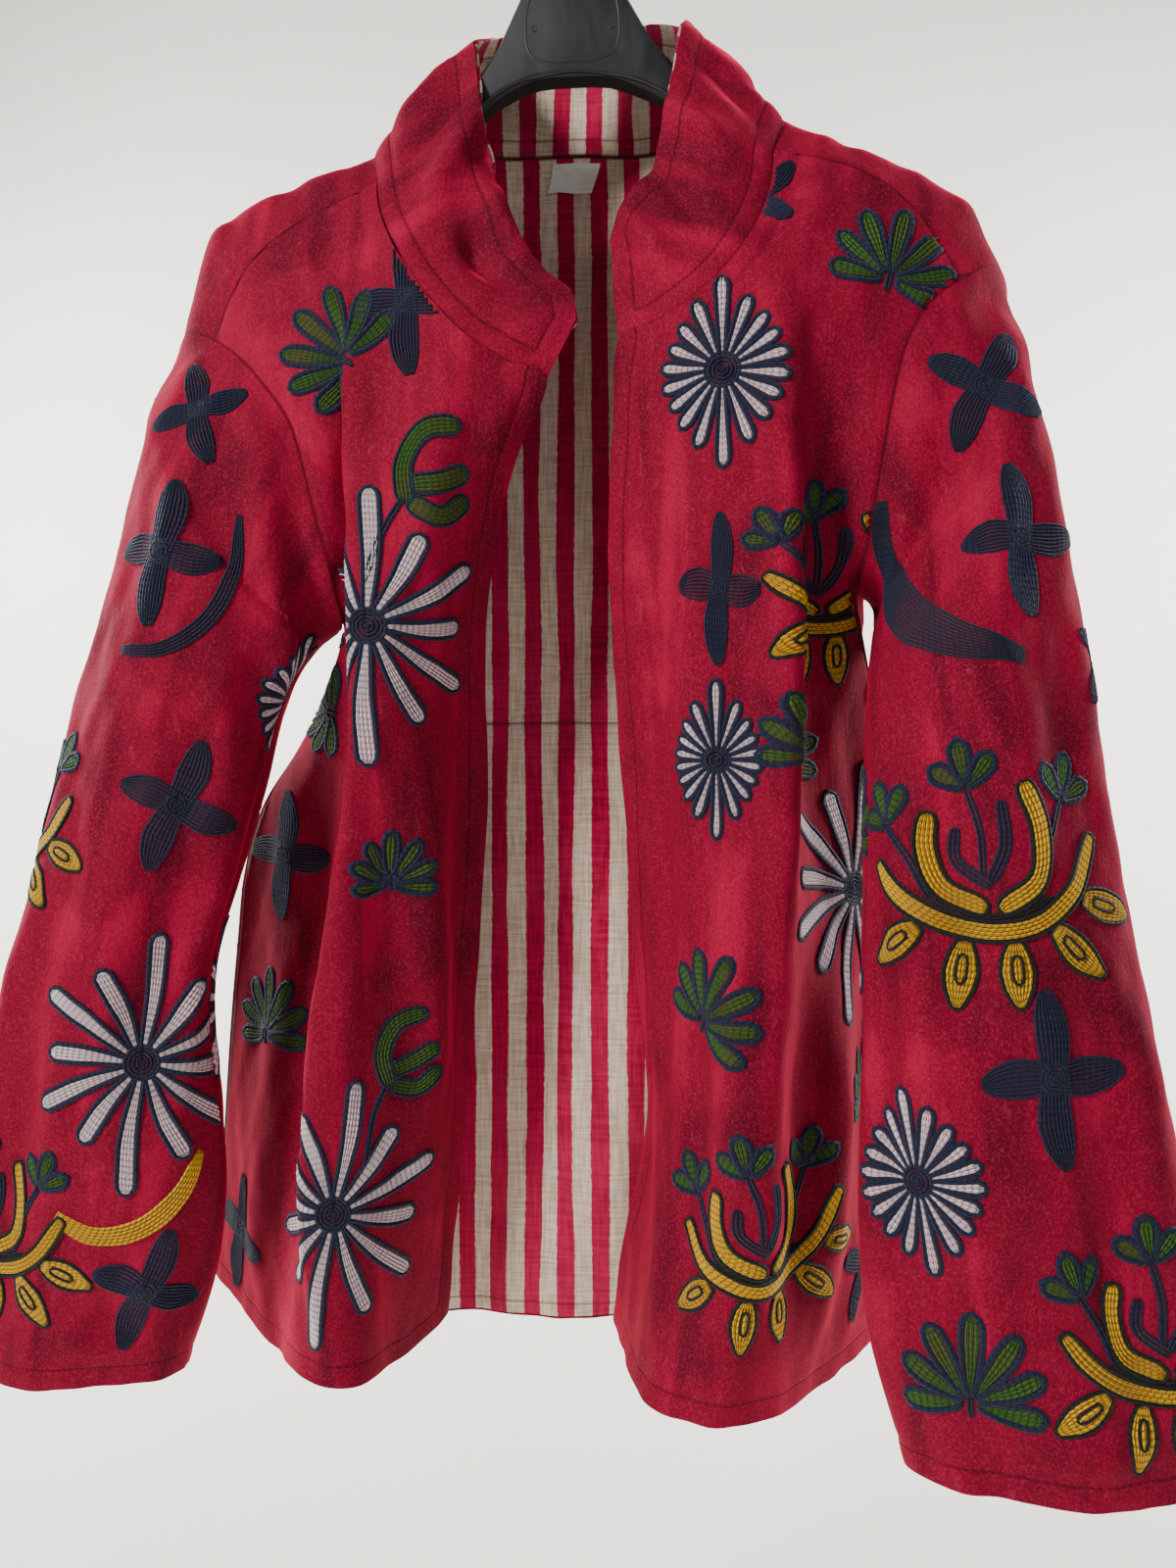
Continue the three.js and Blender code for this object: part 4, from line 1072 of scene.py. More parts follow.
# Widths of the dark edges of petals and leaves, and half the width of a stem
PETAL_EDGE = 2.9
LEAF_EDGE = 3.6
STEM_HALF = 2.0

# The sunburst's rays, each a share of the same reach
RAY_REACHES = (1.1, 0.84, 0.98, 0.8, 1.02, 0.9, 1.12, 0.82, 0.92, 0.78, 1.0, 0.86)


def sunburst(size):
    rows = []
    for k, reach in enumerate(RAY_REACHES):
        turn = 360 * k / len(RAY_REACHES)
        bend, tip = polar(0.28 * size * reach, turn + 2), polar(0.5 * size * reach, turn - 1)
        rows += shape([polar(0.07 * size, turn), bend, tip], 0.029 * size, "ray", "white", "navy", PETAL_EDGE)
    return rows + disc(0.075 * size, "navy")


DAISY_PETALS = 18


def daisy(size, tall=1.35):
    """A diamond of close petals round a dark middle."""
    rows = []
    for k in range(DAISY_PETALS):
        turn = 360 * k / DAISY_PETALS
        across, up = (abs(part) for part in polar(1, turn))
        reach = 0.5 * size * (0.55 / (across + up / tall) + 0.45 / math.hypot(across, up / tall))
        ends = [polar(0.12 * size, turn), polar(reach, turn)]
        rows += shape(ends, 0.036 * size, "wedge", "white", "navy", PETAL_EDGE)
    return rows + raised(disc(0.14 * size, "navy"), 0.2)


def leaf_head(base, turn, size, petals, half):
    """Green leaves that spread from one point, each in a broad navy edge."""
    rows = []
    for lean, reach in petals:
        start = polar(size * 0.14, turn + lean)
        bend = polar(size * reach * 0.55, turn + lean * 1.04)
        tip = polar(size * reach, turn + lean)
        points = [(base[0] + x, base[1] + y) for x, y in (start, bend, tip)]
        rows += shape(points, half * size, "leaf", "green", "navy", LEAF_EDGE)
    return rows


FAN_PETALS = ((-92, 0.74), (-58, 0.86), (-28, 0.98), (3, 1.06), (34, 1.0), (66, 0.9), (98, 0.84))
SPRIG_PETALS = ((-50, 0.92), (0, 1.1), (48, 0.96))


def fan_leaf(size):
    """Seven leaves spread round one point."""
    rows = leaf_head((0, -0.2 * size), 0, 0.72 * size, FAN_PETALS, 0.088)
    return rows + shape([(0, -0.32 * size), (0, -0.12 * size)], 0.035 * size, "band", "navy")


def sprig(base, top, size):
    """A stem with three leaves at its top."""
    middle = ((base[0] + top[0]) / 2 - 0.06 * (top[1] - base[1]) * math.copysign(1, top[0] - base[0]),
              (base[1] + top[1]) / 2)
    turn = math.degrees(math.atan2(top[0] - middle[0], top[1] - middle[1])) * 0.6
    stem = shape([base, middle, top], STEM_HALF, "band", "navy")
    return stem + leaf_head(top, turn, size, SPRIG_PETALS, 0.16)


def scaled(points, size):
    return [(x * size, y * size) for x, y in points]


# A curled sprig, in shares of its height: its stem, then its hooked leaf and the two fingers inside it
CURL_STEM = ((-0.12, -0.5), (-0.08, -0.2), (0, 0.02))
CURL_FINGERS = (
    ((0.02, 0.0), (-0.04, 0.22), (0.04, 0.42), (0.22, 0.5)),
    ((0.03, 0.1), (0.17, 0.15), (0.32, 0.26)),
    ((0.04, 0.0), (0.22, -0.03), (0.36, 0.1)),
)


def curled_sprig(size):
    """A stem whose leaf bends over like a hook, with two fingers inside the hook."""
    rows = shape(scaled(CURL_STEM, size), STEM_HALF, "band", "navy")
    for finger in CURL_FINGERS:
        rows += shape(scaled(finger, size), 0.045 * size, "band", "green", "navy")
    return rows


# A blossom, in shares of its width: its drops (base, clock direction, length), stems, bowl and horns
BLOSSOM_DROPS = (((-0.29, -0.18), -126, 0.27), ((-0.11, -0.24), -172, 0.27), ((0.09, -0.24), 176, 0.26),
                 ((0.26, -0.18), 130, 0.3), ((0.42, -0.06), 104, 0.28))
BLOSSOM_STEMS = (((-0.25, -0.06), (-0.43, 0.24)), ((-0.03, 0.02), (-0.09, 0.38)),
                 ((0.2, -0.08), (0.34, 0.34)))
BLOSSOM_BOWL = ((-0.5, 0.08), (-0.38, -0.05), (-0.2, -0.16), (0, -0.2), (0.2, -0.16),
                (0.38, -0.02), (0.5, 0.2))
BLOSSOM_HORNS = (((-0.25, 0.28), (-0.26, 0.14), (-0.2, -0.02), (-0.02, -0.11)),
                 ((0.14, 0.4), (0.21, 0.22), (0.2, 0.02), (0.04, -0.11)))
BLOSSOM_HEART = ((-0.26, -0.06), (-0.13, -0.13), (0, -0.155), (0.13, -0.13), (0.27, -0.06))
BLOSSOM_TONGUES = (((-0.14, 0.22), (-0.14, 0.09), (0, -0.02)), ((0.05, 0.33), (0.06, 0.14), (0, 0)))


def blossom(size):
    """A yellow cup over a wide bowl, with drops under it and leaf sprigs above."""
    rows = []
    for base, top in BLOSSOM_STEMS:
        rows += sprig(*scaled([base, top], size), 0.17 * size)
    for tongue in BLOSSOM_TONGUES:
        rows += shape(scaled(tongue, size), 0.028 * size, "band", "navy")
    for base, turn, reach in BLOSSOM_DROPS:
        rows += blossom_drop(*scaled([base], size), polar(reach * size, turn), 0.062 * size)
    rows += shape(scaled(BLOSSOM_HEART, size), 0.032 * size, "sickle", "black")
    for horn in BLOSSOM_HORNS:
        rows += raised(shape(scaled(horn, size), 0.034 * size, "band", "yellow", "black"), 0.3)
    return rows + raised(shape(scaled(BLOSSOM_BOWL, size), 0.032 * size, "band", "yellow", "black"), 0.4)


def blossom_drop(base, step, half):
    """A pointed drop with a small dark loop inside it."""
    tip = (base[0] + step[0], base[1] + step[1])
    rows = shape([base, tip], half, "drop", "yellow", "black")
    inner = [(base[0] + step[0] * share, base[1] + step[1] * share) for share in (0.22, 0.62)]
    return rows + raised(shape(inner, 0.22 * half, "band", "yellow", "black", 1.8), 0.5)


def raised(rows, lift):
    return [(line, halves, thread, height + lift) for line, halves, thread, height in rows]


def placed(rows, x, y, turn):
    """The rows of a motif turned clockwise by some degrees and moved to x, y."""
    angle = math.radians(-turn)
    spin = np.array([[math.cos(angle), math.sin(angle)], [-math.sin(angle), math.cos(angle)]])
    return [(line @ spin + (x, y), *rest) for line, *rest in rows]


class Surface:
    """Finds the hanging place of a flat point of a panel."""

    def __init__(self, panel):
        grids = panel.hang(*panel.places)[:3]
        self.points, self.normals, self.flat = (grid.reshape(-1, grid.shape[-1]) for grid in grids)
        rows, columns = (len(place) for place in panel.places)
        index = np.arange(rows * columns).reshape(rows, columns)
        a, b, c, d = (part.ravel() for part in corners_of(index))
        self.triangles = np.vstack([np.column_stack([a, b, c]), np.column_stack([a, c, d])])
        flat = np.column_stack([self.flat, np.zeros(len(self.flat))])
        self.tree = BVHTree.FromPolygons(flat.tolist(), self.triangles.tolist(), all_triangles=True)
        middle = len(a) // 2
        p, q, r = (np.append(self.flat[k], 0) for k in self.triangles[middle])
        u, v, w = (self.points[k] for k in self.triangles[middle])
        facing = np.cross(v - u, w - u) @ self.normals[a[middle]]
        self.hand = np.sign(np.cross(q - p, r - p)[2] * facing)

    def find(self, spots):
        """Hanging points and normals of flat spots, and which of them lie on the cloth."""
        down = Vector((0, 0, -1))
        hits = [self.tree.ray_cast(Vector((x, y, 1)), down)[2] for x, y in spots]
        on = np.array([hit is not None for hit in hits])
        triangles = self.triangles[[0 if hit is None else hit for hit in hits]]
        a, b, c = (self.flat[triangles[:, k]] for k in range(3))
        u, v = b - a, c - a
        w = spots - a
        area = u[:, 0] * v[:, 1] - u[:, 1] * v[:, 0]
        share_b = (w[:, 0] * v[:, 1] - w[:, 1] * v[:, 0]) / area
        share_c = (u[:, 0] * w[:, 1] - u[:, 1] * w[:, 0]) / area
        shares = np.stack([1 - share_b - share_c, share_b, share_c])[..., None]
        points = sum(shares[k] * self.points[triangles[:, k]] for k in range(3))
        normals = sum(shares[k] * self.normals[triangles[:, k]] for k in range(3))
        return points, normals, on


def stitched_piece(name, surface, rows, materials):
    """All the rows of chain stitch on one panel, each a closed half-round strip that follows the cloth."""
    threads = list(materials)
    spots, lifts, spans = [], [], []
    for line, halves, thread, height in rows:
        side = sideways(line)
        for offset, rise in SECTION:
            spots.append(line + side * (halves * offset)[:, None])
            lifts.append(np.full(len(line), height if rise else -ROW_SINK))
        spans.append(len(line))
    points, normals, on = surface.find(np.vstack(spots))
    raised_points = points + normals * np.concatenate(lifts)[:, None]
    vertices, faces, kinds, uvs = [], [], [], []
    start = 0
    for (line, halves, thread, height), count in zip(rows, spans):
        block = slice(start, start + 4 * count)
        start += 4 * count
        sections = raised_points[block].reshape(4, count, 3).transpose(1, 0, 2)
        whole = on[block].reshape(4, count).all(axis=0)
        reach = reach_of(step_lengths(line)) / LINK_LENGTH
        for first, last in runs(whole):
            base = len(vertices)
            vertices.extend(sections[first:last].reshape(-1, 3))
            strip_faces(faces, uvs, base, reach[first:last], surface.hand)
            kinds.extend([threads.index(thread)] * (len(faces) - len(kinds)))
    piece = new_piece(name, np.array(vertices) * MM, faces)
    for material in materials.values():
        piece.data.materials.append(material)
    piece.data.polygons.foreach_set("material_index", np.array(kinds, np.int32))
    give_uv(piece, "stitch", np.array(uvs))
    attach(piece, "root")
    return piece


def runs(flags):
    """Start and end of each stretch of at least two true flags."""
    edges = np.flatnonzero(np.diff(np.concatenate([[0], flags.astype(int), [0]])))
    return [(a, b) for a, b in zip(edges[::2], edges[1::2]) if b - a >= 2]


def span_places(start, end, left, right):
    return [(start, left), (end, left), (end, right), (start, right)]


def strip_faces(faces, uvs, base, reach, hand):
    count = len(reach)
    across = [offset for offset, _ in SECTION]

    def add(corners, places):
        if hand > 0:
            corners, places = corners[::-1], places[::-1]
        faces.append(corners)
        uvs.extend(places)

    for i in range(count - 1):
        a, b = base + 4 * i, base + 4 * i + 4
        for k in range(3):
            add([a + k, b + k, b + k + 1, a + k + 1], span_places(*reach[i:i + 2], *across[k:k + 2]))
        add([a + 3, b + 3, b, a], span_places(*reach[i:i + 2], 1, -1))
    end = base + 4 * (count - 1)
    add([base, base + 1, base + 2, base + 3], [(reach[0], v) for v in across])
    add([end + 3, end + 2, end + 1, end], [(reach[-1], v) for v in across[::-1]])


# The panels

# The column of each flat pattern that runs straight down, and the direction down each sleeve
GRAIN = {"back": 11, "front": 3, "sleeve": 9, "collar": 12}
SLEEVE_DOWN = {"right": (-0.125, 0.0, -0.992), "left": (0.12, -0.11, -0.987)}


def hung_start(points, grain, sign):
    """A first flat pattern of a hanging panel: round its folds across, and its height up."""
    x = sign * reach_of(step_lengths(points[..., :2], 1), 1)
    return np.dstack([x - x[:, grain:grain + 1] + points[:, grain:grain + 1, 0], points[..., 2]])


def tube_start(points, grain, sign, down):
    """A first flat pattern of a sleeve, opened at its underarm seam."""
    x = sign * reach_of(step_lengths(points, 1), 1)
    return np.dstack([x - x[:, grain:grain + 1], -(points @ np.array(down))])


def band_start(points, grain, sign):
    """A first flat pattern of the collar, its seam along the bottom."""
    x = reach_of(step_lengths(points, 1).mean(axis=0))
    up = reach_of(step_lengths(points))
    return np.dstack([np.tile(x - x[grain], (len(points), 1)), up])


# Creases on each panel's flat pattern: the points of a line, then the height of the ridge (below 0
# for a trough) and its width
CREASES = {
    "front_right": [
        (((-80, -520), (-76, -620), (-82, -770)), 5.0, 13),
        (((-52, -430), (-54, -600), (-50, -760)), -3.0, 12),
        (((-60, -300), (-74, -380), (-70, -480)), 3.0, 14),
        (((-112, -470), (-108, -560), (-116, -700)), -2.5, 12),
        (((-160, -300), (-150, -350), (-152, -410)), 3.5, 12),
        (((-205, -380), (-215, -430), (-205, -500)), -3.0, 12),
        (((-215, -560), (-225, -680), (-235, -800)), 3.5, 15),
        (((-185, -600), (-190, -700), (-195, -800)), -3.5, 14),
        (((-150, -560), (-160, -640), (-165, -700)), 2.5, 10),
        (((-115, -235), (-100, -245), (-84, -240)), 1.5, 7),
    ],
    "front_left": [
        (((112, -262), (115, -400), (116, -620)), 5.5, 11),
        (((142, -290), (146, -430), (150, -600)), -5.5, 17),
        (((64, -340), (70, -460), (66, -600)), 3.5, 13),
        (((40, -420), (44, -560), (40, -720)), -2.5, 11),
        (((88, -560), (94, -680), (88, -810)), 3.5, 12),
        (((64, -620), (66, -720), (58, -810)), -3.0, 11),
        (((132, -640), (136, -730), (132, -820)), -4.0, 13),
        (((160, -620), (166, -720), (164, -820)), 4.0, 13),
        (((200, -600), (206, -700), (210, -810)), -3.5, 14),
        (((96, -225), (120, -232), (150, -222)), 1.6, 8),
        (((186, -300), (182, -350), (184, -400)), 3.0, 12),
    ],
    "sleeve_right": [
        (((80, -318), (98, -360), (120, -420), (150, -490)), 4.0, 12),
        (((110, -350), (132, -400), (158, -440)), -4.5, 12),
        (((128, -420), (138, -470), (162, -520)), 3.5, 9),
        (((96, -470), (120, -520), (128, -600)), 3.0, 12),
        (((140, -540), (136, -620), (132, -700)), 4.0, 9),
        (((112, -560), (110, -640), (106, -720)), -2.5, 12),
        (((60, -320), (64, -380), (60, -440)), 2.5, 10),
        (((28, -600), (22, -700), (18, -800)), 4.0, 12),
        (((48, -690), (42, -780), (44, -850)), -3.0, 11),
        (((90, -800), (110, -812), (140, -806)), 2.0, 8),
        (((80, -840), (105, -850), (130, -846)), 2.2, 7),
        (((150, -700), (152, -780), (148, -850)), -3.0, 11),
        (((-40, -360), (-60, -470), (-50, -600)), 4.0, 14),
        (((-90, -420), (-110, -540), (-100, -680)), -4.5, 16),
        (((-140, -500), (-150, -620), (-140, -760)), 4.0, 14),
        (((-60, -640), (-70, -740), (-64, -840)), 3.5, 13),
        (((-20, -500), (-30, -600), (-24, -700)), -3.0, 12),
        (((-120, -400), (-80, -460), (-50, -480)), 3.0, 11),
    ],
    "sleeve_left": [
        (((-78, -318), (-96, -370), (-130, -420), (-160, -450)), 4.0, 12),
        (((-70, -390), (-100, -450), (-150, -480)), -2.5, 12),
        (((-20, -330), (-24, -440), (-18, -560)), 3.0, 14),
        (((-120, -520), (-128, -640), (-120, -760)), 3.0, 14),
        (((-150, -560), (-156, -680), (-150, -800)), -3.5, 13),
        (((-60, -640), (-54, -740), (-60, -840)), -2.5, 14),
        (((-20, -640), (-26, -740), (-20, -850)), 3.0, 13),
        (((-100, -850), (-70, -858), (-40, -852)), 2.0, 8),
        (((40, -360), (60, -470), (50, -600)), 4.0, 14),
        (((92, -420), (110, -540), (102, -680)), -4.5, 16),
        (((140, -500), (150, -620), (142, -760)), 4.0, 14),
        (((64, -640), (70, -740), (62, -840)), 3.5, 13),
        (((120, -400), (80, -460), (50, -490)), 3.0, 11),
    ],
    "back": [
        (((-120, -230), (-110, -380), (-118, -560)), 5.0, 16),
        (((-70, -260), (-66, -420), (-74, -600)), -4.0, 16),
        (((118, -230), (108, -380), (116, -560)), 5.0, 16),
        (((66, -260), (64, -420), (72, -600)), -4.0, 16),
        (((-20, -520), (-16, -660), (-24, -810)), 5.0, 16),
        (((24, -560), (28, -690), (22, -810)), -4.0, 15),
        (((-150, -560), (-160, -690), (-156, -810)), -4.5, 17),
        (((-190, -540), (-200, -680), (-206, -800)), 4.5, 16),
        (((150, -560), (160, -690), (156, -810)), 4.5, 16),
        (((196, -560), (204, -690), (210, -800)), -4.5, 16),
        (((-60, -190), (-30, -210), (20, -212), (60, -192)), 2.0, 8),
        (((-100, -640), (-96, -740), (-104, -810)), 3.5, 13),
        (((84, -640), (90, -740), (84, -810)), -3.5, 13),
        (((-170, -300), (-180, -380), (-176, -440)), -3.5, 13),
        (((172, -300), (182, -380), (178, -440)), 3.5, 13),
    ],
    "collar": [
        (((-262, 34), (-240, 26), (-216, 30)), -5.0, 8), (((-250, 52), (-222, 46), (-196, 50)), 5.0, 9),
        (((-196, 14), (-176, 40), (-152, 66)), 4.2, 8), (((-166, 12), (-150, 38), (-130, 66)), -4.0, 7),
        (((-136, 14), (-118, 40), (-100, 66)), 3.6, 8), (((-205, 60), (-180, 52), (-160, 62)), -3.0, 6),
        (((262, 18), (246, 44), (236, 66)), 4.0, 8), (((234, 14), (218, 40), (208, 66)), -4.2, 7),
        (((196, 14), (182, 40), (174, 66)), 4.0, 8), (((160, 14), (146, 40), (134, 62)), -3.6, 8),
        (((128, 18), (112, 40), (100, 60)), 2.8, 8), (((-60, 20), (-40, 40), (-30, 58)), 1.6, 9),
        (((40, 18), (52, 40), (60, 58)), -1.6, 9),
    ],
}


def grain(start, *settings):
    """start, for a pattern drawn at half steps, so that grain columns count double."""
    return lambda points: start(points, *settings)


def make_panels():
    panels = {}
    for side, sign, outward in (("right", -1, 1), ("left", 1, -1)):
        panels["front_" + side] = Panel(
            front_rows(side), outward, FRONT_STEPS, grain(hung_start, 2 * GRAIN["front"], sign),
            stitched=("first", "bottom"), seams=("top", "last"), creases=CREASES["front_" + side],
            sewn=("free", "bottom"))
        panels["sleeve_" + side] = Panel(
            sleeve_rows(side), outward, SLEEVE_STEPS,
            grain(tube_start, 2 * GRAIN["sleeve"], sign, SLEEVE_DOWN[side]), cyclic=True,
            stitched=("bottom",), seams=("top", "first", "last"), creases=CREASES["sleeve_" + side])
    panels["back"] = Panel(
        back_rows(), 1, BACK_STEPS, grain(hung_start, 2 * GRAIN["back"], 1),
        stitched=("bottom",), seams=("top", "first", "last"), creases=CREASES["back"])
    panels["collar"] = Panel(
        collar_rows(), -1, COLLAR_STEPS, grain(band_start, 2 * GRAIN["collar"], 1),
        stitched=("bottom", "first", "last", "top"), seams=("top",), creases=CREASES["collar"])
    return panels


# The cloth, each layer in place of its solid

velvet = velvet_material()
body_cotton = striped_cotton_material("striped_cotton", 5)
collar_cotton = striped_cotton_material("striped_cotton_collar", 0)
panels = make_panels()

VELVET_LAYER = (0, VELVET)
COTTON_LAYER = (LINING_DEPTH, INSIDE_DEPTH)

for name, panel in panels.items():
    cloth_layer(name + "_velvet", panel, VELVET_LAYER, *panel.places, velvet, "velvet", name)


def add_lining(node, panel, rows, columns, material, join=None):
    places = [between(*span, steps) for span, steps in zip((rows, columns), LINING_STEPS)]
    cloth_layer(node + "_cloth", panel, COTTON_LAYER, *places, material, "striped_cotton",
                              node, lining_ease, join)


# Soft waves of the lining over the velvet behind it: height, length across, length down, and phase
LINING_WAVES = ((0.5, 58, 260, 0.7), (0.4, -37, 170, 2.0), (0.3, 140, 52, 1.1))


def lining_ease(flat, to_edge, to_seam):
    """How far the loose lining stands off the velvet, as a depth: nothing at its seams."""
    waves = sum(height * (1 + np.sin(2 * math.pi * (flat[..., 0] / across + flat[..., 1] / down) + phase))
                for height, across, down, phase in LINING_WAVES)
    return waves * smoothstep(np.minimum(to_edge, to_seam), 0, SEAM_CALM)


BACK_SPAN = (0, BACK_COLUMNS)
FRONT_SPAN = (LINING_INSET_COLUMNS, FRONT_COLUMNS)
add_lining("lining_back_upper", panels["back"], (0, CROSS_SEAM_ROW), BACK_SPAN, body_cotton, CROSS_SEAM_ROW)
add_lining("lining_back_lower", panels["back"], (CROSS_SEAM_ROW, BACK_ROWS - BACK_LINING_RISE_ROWS),
           BACK_SPAN, body_cotton, CROSS_SEAM_ROW)
for side in ("right", "left"):
    add_lining("lining_front_" + side, panels["front_" + side], (0, FRONT_ROWS - LINING_RISE_ROWS),
               FRONT_SPAN, body_cotton)
# The collar lining rolls out a little past the velvet along the free edge and at the left end
add_lining("collar_lining", panels["collar"], (0, COLLAR_ROWS + LINING_ROLL),
           (LINING_INSET_COLUMNS, COLLAR_COLUMNS + LINING_ROLL), collar_cotton)


# Where the motifs lie on each flat pattern: the motif, its middle (x, y), its size, its turn
# clockwise in degrees, and what else it takes
MOTIFS = {
    "front_right": [
        (fan_leaf, -126, -296, 56, -48), (star, -84, -276, 70, -6), (curled_sprig, -86, -380, 88, 14),
        (sunburst, -107, -443, 128, 4), (star, -182, -436, 44, 20), (fan_leaf, -190, -480, 42, -78),
        (fan_leaf, -101, -574, 36, 0), (star, -223, -562, 68, 0), (fan_leaf, -233, -658, 48, -5),
        (curled_sprig, -108, -692, 80, 8), (sunburst, -143, -755, 128, 16), (star, -255, -787, 66, 10),
    ],
    "front_left": [
        (star, 97, -217, 52, 40), (fan_leaf, 166, -256, 54, 12), (daisy, 81, -318, 66, -2, 1.45),
        (blossom, 152, -425, 96, -6), (star, 81, -427, 70, -2, 0.62), (daisy, 80, -514, 46, 0, 1.7),
        (fan_leaf, 127, -503, 46, 4), (sunburst, 182, -581, 126, 10), (fan_leaf, 75, -640, 50, 26),
        (blossom, 112, -758, 100, -4), (star, 204, -455, 50, 20), (fan_leaf, 205, -690, 48, 0),
        (star, 205, -790, 56, 15),
    ],
    "sleeve_right": [
        (star, 53, -350, 60, -38), (star, 63, -430, 70, -8),
        (crescent, 88, -447, 94, -68, "navy", 0.048, "sickle"), (star, 101, -556, 66, 8),
        (blossom, -14, -585, 100, 0), (daisy, 158, -488, 56, 0), (sunburst, 107, -693, 122, 0),
        (star, -5, -675, 55, 20), (crescent, 116, -768, 80, -36, "yellow", 0.07, "sickle"),
        (star, 125, -812, 62, 10), (blossom, 28, -800, 100, 0), (star, -60, -390, 58, 15),
        (crescent, -110, -440, 96, 60, "navy", 0.09), (fan_leaf, -50, -480, 52, 0),
        (daisy, -105, -560, 62, 0, 1.4), (sunburst, -120, -665, 116, 12), (fan_leaf, -55, -730, 52, 10),
        (star, -128, -768, 58, 25), (crescent, -92, -835, 80, 20, "yellow", 0.07, "sickle"),
        (fan_leaf, -25, -345, 46, 0),
    ],
    "sleeve_left": [
        (star, -50, -352, 68, 36), (star, -52, -437, 70, -4),
        (crescent, -104, -452, 122, 56, "navy", 0.1), (star, -5, -495, 48, 30),
        (blossom, -91, -596, 112, 6), (star, -73, -686, 74, -4), (daisy, -140, -730, 62, -5, 1.35),
        (fan_leaf, -127, -820, 52, 5), (blossom, -34, -815, 104, 8), (star, 62, -370, 58, 20),
        (fan_leaf, 38, -430, 50, 0), (crescent, 104, -455, 100, -60, "navy", 0.09),
        (daisy, 70, -545, 62, 0, 1.4), (fan_leaf, 132, -560, 50, 0), (sunburst, 108, -660, 118, 8),
        (star, 40, -700, 58, 10), (crescent, 60, -765, 80, -25, "yellow", 0.07, "sickle"),
        (star, 130, -790, 60, 0), (fan_leaf, 80, -835, 48, 0),
    ],
    "back": [
        (star, -150, -235, 58, 15), (fan_leaf, -85, -225, 54, -8), (daisy, -8, -250, 62, 0, 1.4),
        (fan_leaf, 90, -228, 54, 8), (star, 155, -235, 60, 30), (star, -165, -320, 56, 0),
        (crescent, -105, -345, 104, 62, "navy", 0.09), (sunburst, -20, -375, 122, 6),
        (crescent, 98, -350, 104, -62, "navy", 0.09), (star, 160, -330, 58, 10),
        (blossom, -78, -480, 106, -4), (daisy, 60, -470, 56, 0, 1.6), (star, 118, -455, 56, 20),
        (fan_leaf, 8, -500, 50, 0), (sunburst, 105, -560, 118, 14), (star, -140, -560, 60, 5),
        (daisy, -30, -590, 56, 0, 1.5), (fan_leaf, 28, -640, 52, 10), (sunburst, -120, -665, 120, 0),
        (fan_leaf, -195, -610, 50, -5), (star, -35, -690, 60, 20), (blossom, 70, -745, 106, 3),
        (star, 150, -680, 58, 0), (crescent, -190, -745, 82, -30, "yellow", 0.07, "sickle"),
        (blossom, -115, -790, 100, -3), (star, -25, -790, 56, 8), (daisy, 145, -790, 56, 0, 1.4),
        (star, -208, -810, 54, 12),
    ],
}

# Each thread's own colour, then a darker copy of it that is painted shade for the hollows of its chain links
THREADS = {
    "navy": ("161C42", "070919"), "black": ("141419", "040406"), "white": ("FBEAF0", "A58692"),
    "green": ("386812", "14290A"), "yellow": ("EDB90C", "8A5C02"),
}


def embroider():
    threads = {name: thread_material("thread_" + name, *codes) for name, codes in THREADS.items()}
    pieces = {}
    for name, motifs in MOTIFS.items():
        rows = []
        for draw, x, y, size, turn, *more in motifs:
            rows += placed(draw(size, *more), x, y, turn)
        pieces[name] = stitched_piece("embroidery_" + name, Surface(panels[name]), rows, threads)
    return pieces


embroidery = embroider()


# Hanger

# Front of the hanger, for a place where no face is found
HANGER_FACE_Y = -6.2
# Turns of the surface, in degrees: of the flat faces that are joined, and of the edges that stay sharp
JOIN_ANGLE = 25
JOIN_SHAPE_ANGLE = 60
TUBE_ANGLE = 40
SHELL_BEVEL_ANGLE = 28
SHELL_ANGLE = 35
# The gap that the weld closes and the width of the shell's soft edges, in millimetres
WELD_GAP = 0.01
SHELL_BEVEL = 1.2


def copy_of_node(name, node):
    """A welded copy of a CAD solid, ready to be smoothed."""
    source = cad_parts[node]
    piece = put_in_scene(name, source.data.copy())
    piece.data.materials.clear()
    mesh = bmesh.new()
    mesh.from_mesh(piece.data)
    bmesh.ops.remove_doubles(mesh, verts=mesh.verts, dist=WELD_GAP * MM)
    bmesh.ops.join_triangles(mesh, faces=mesh.faces, angle_face_threshold=math.radians(JOIN_ANGLE),
                             angle_shape_threshold=math.radians(JOIN_SHAPE_ANGLE))
    mesh.to_mesh(piece.data)
    mesh.free()
    return piece


def select_only(piece):
    bpy.ops.object.select_all(action="DESELECT")
    piece.select_set(True)
    bpy.context.view_layer.objects.active = piece


def finish_with(piece, kind, name, **settings):
    modifier = piece.modifiers.new(name, kind)
    for setting, value in settings.items():
        setattr(modifier, setting, value)
    select_only(piece)
    bpy.ops.object.modifier_apply(modifier=modifier.name)


def dress(piece, material, slot, *nodes):
    piece.data.materials.clear()
    piece.data.materials.append(material)
    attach(piece, "root")
    if nodes:
        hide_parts(*nodes)


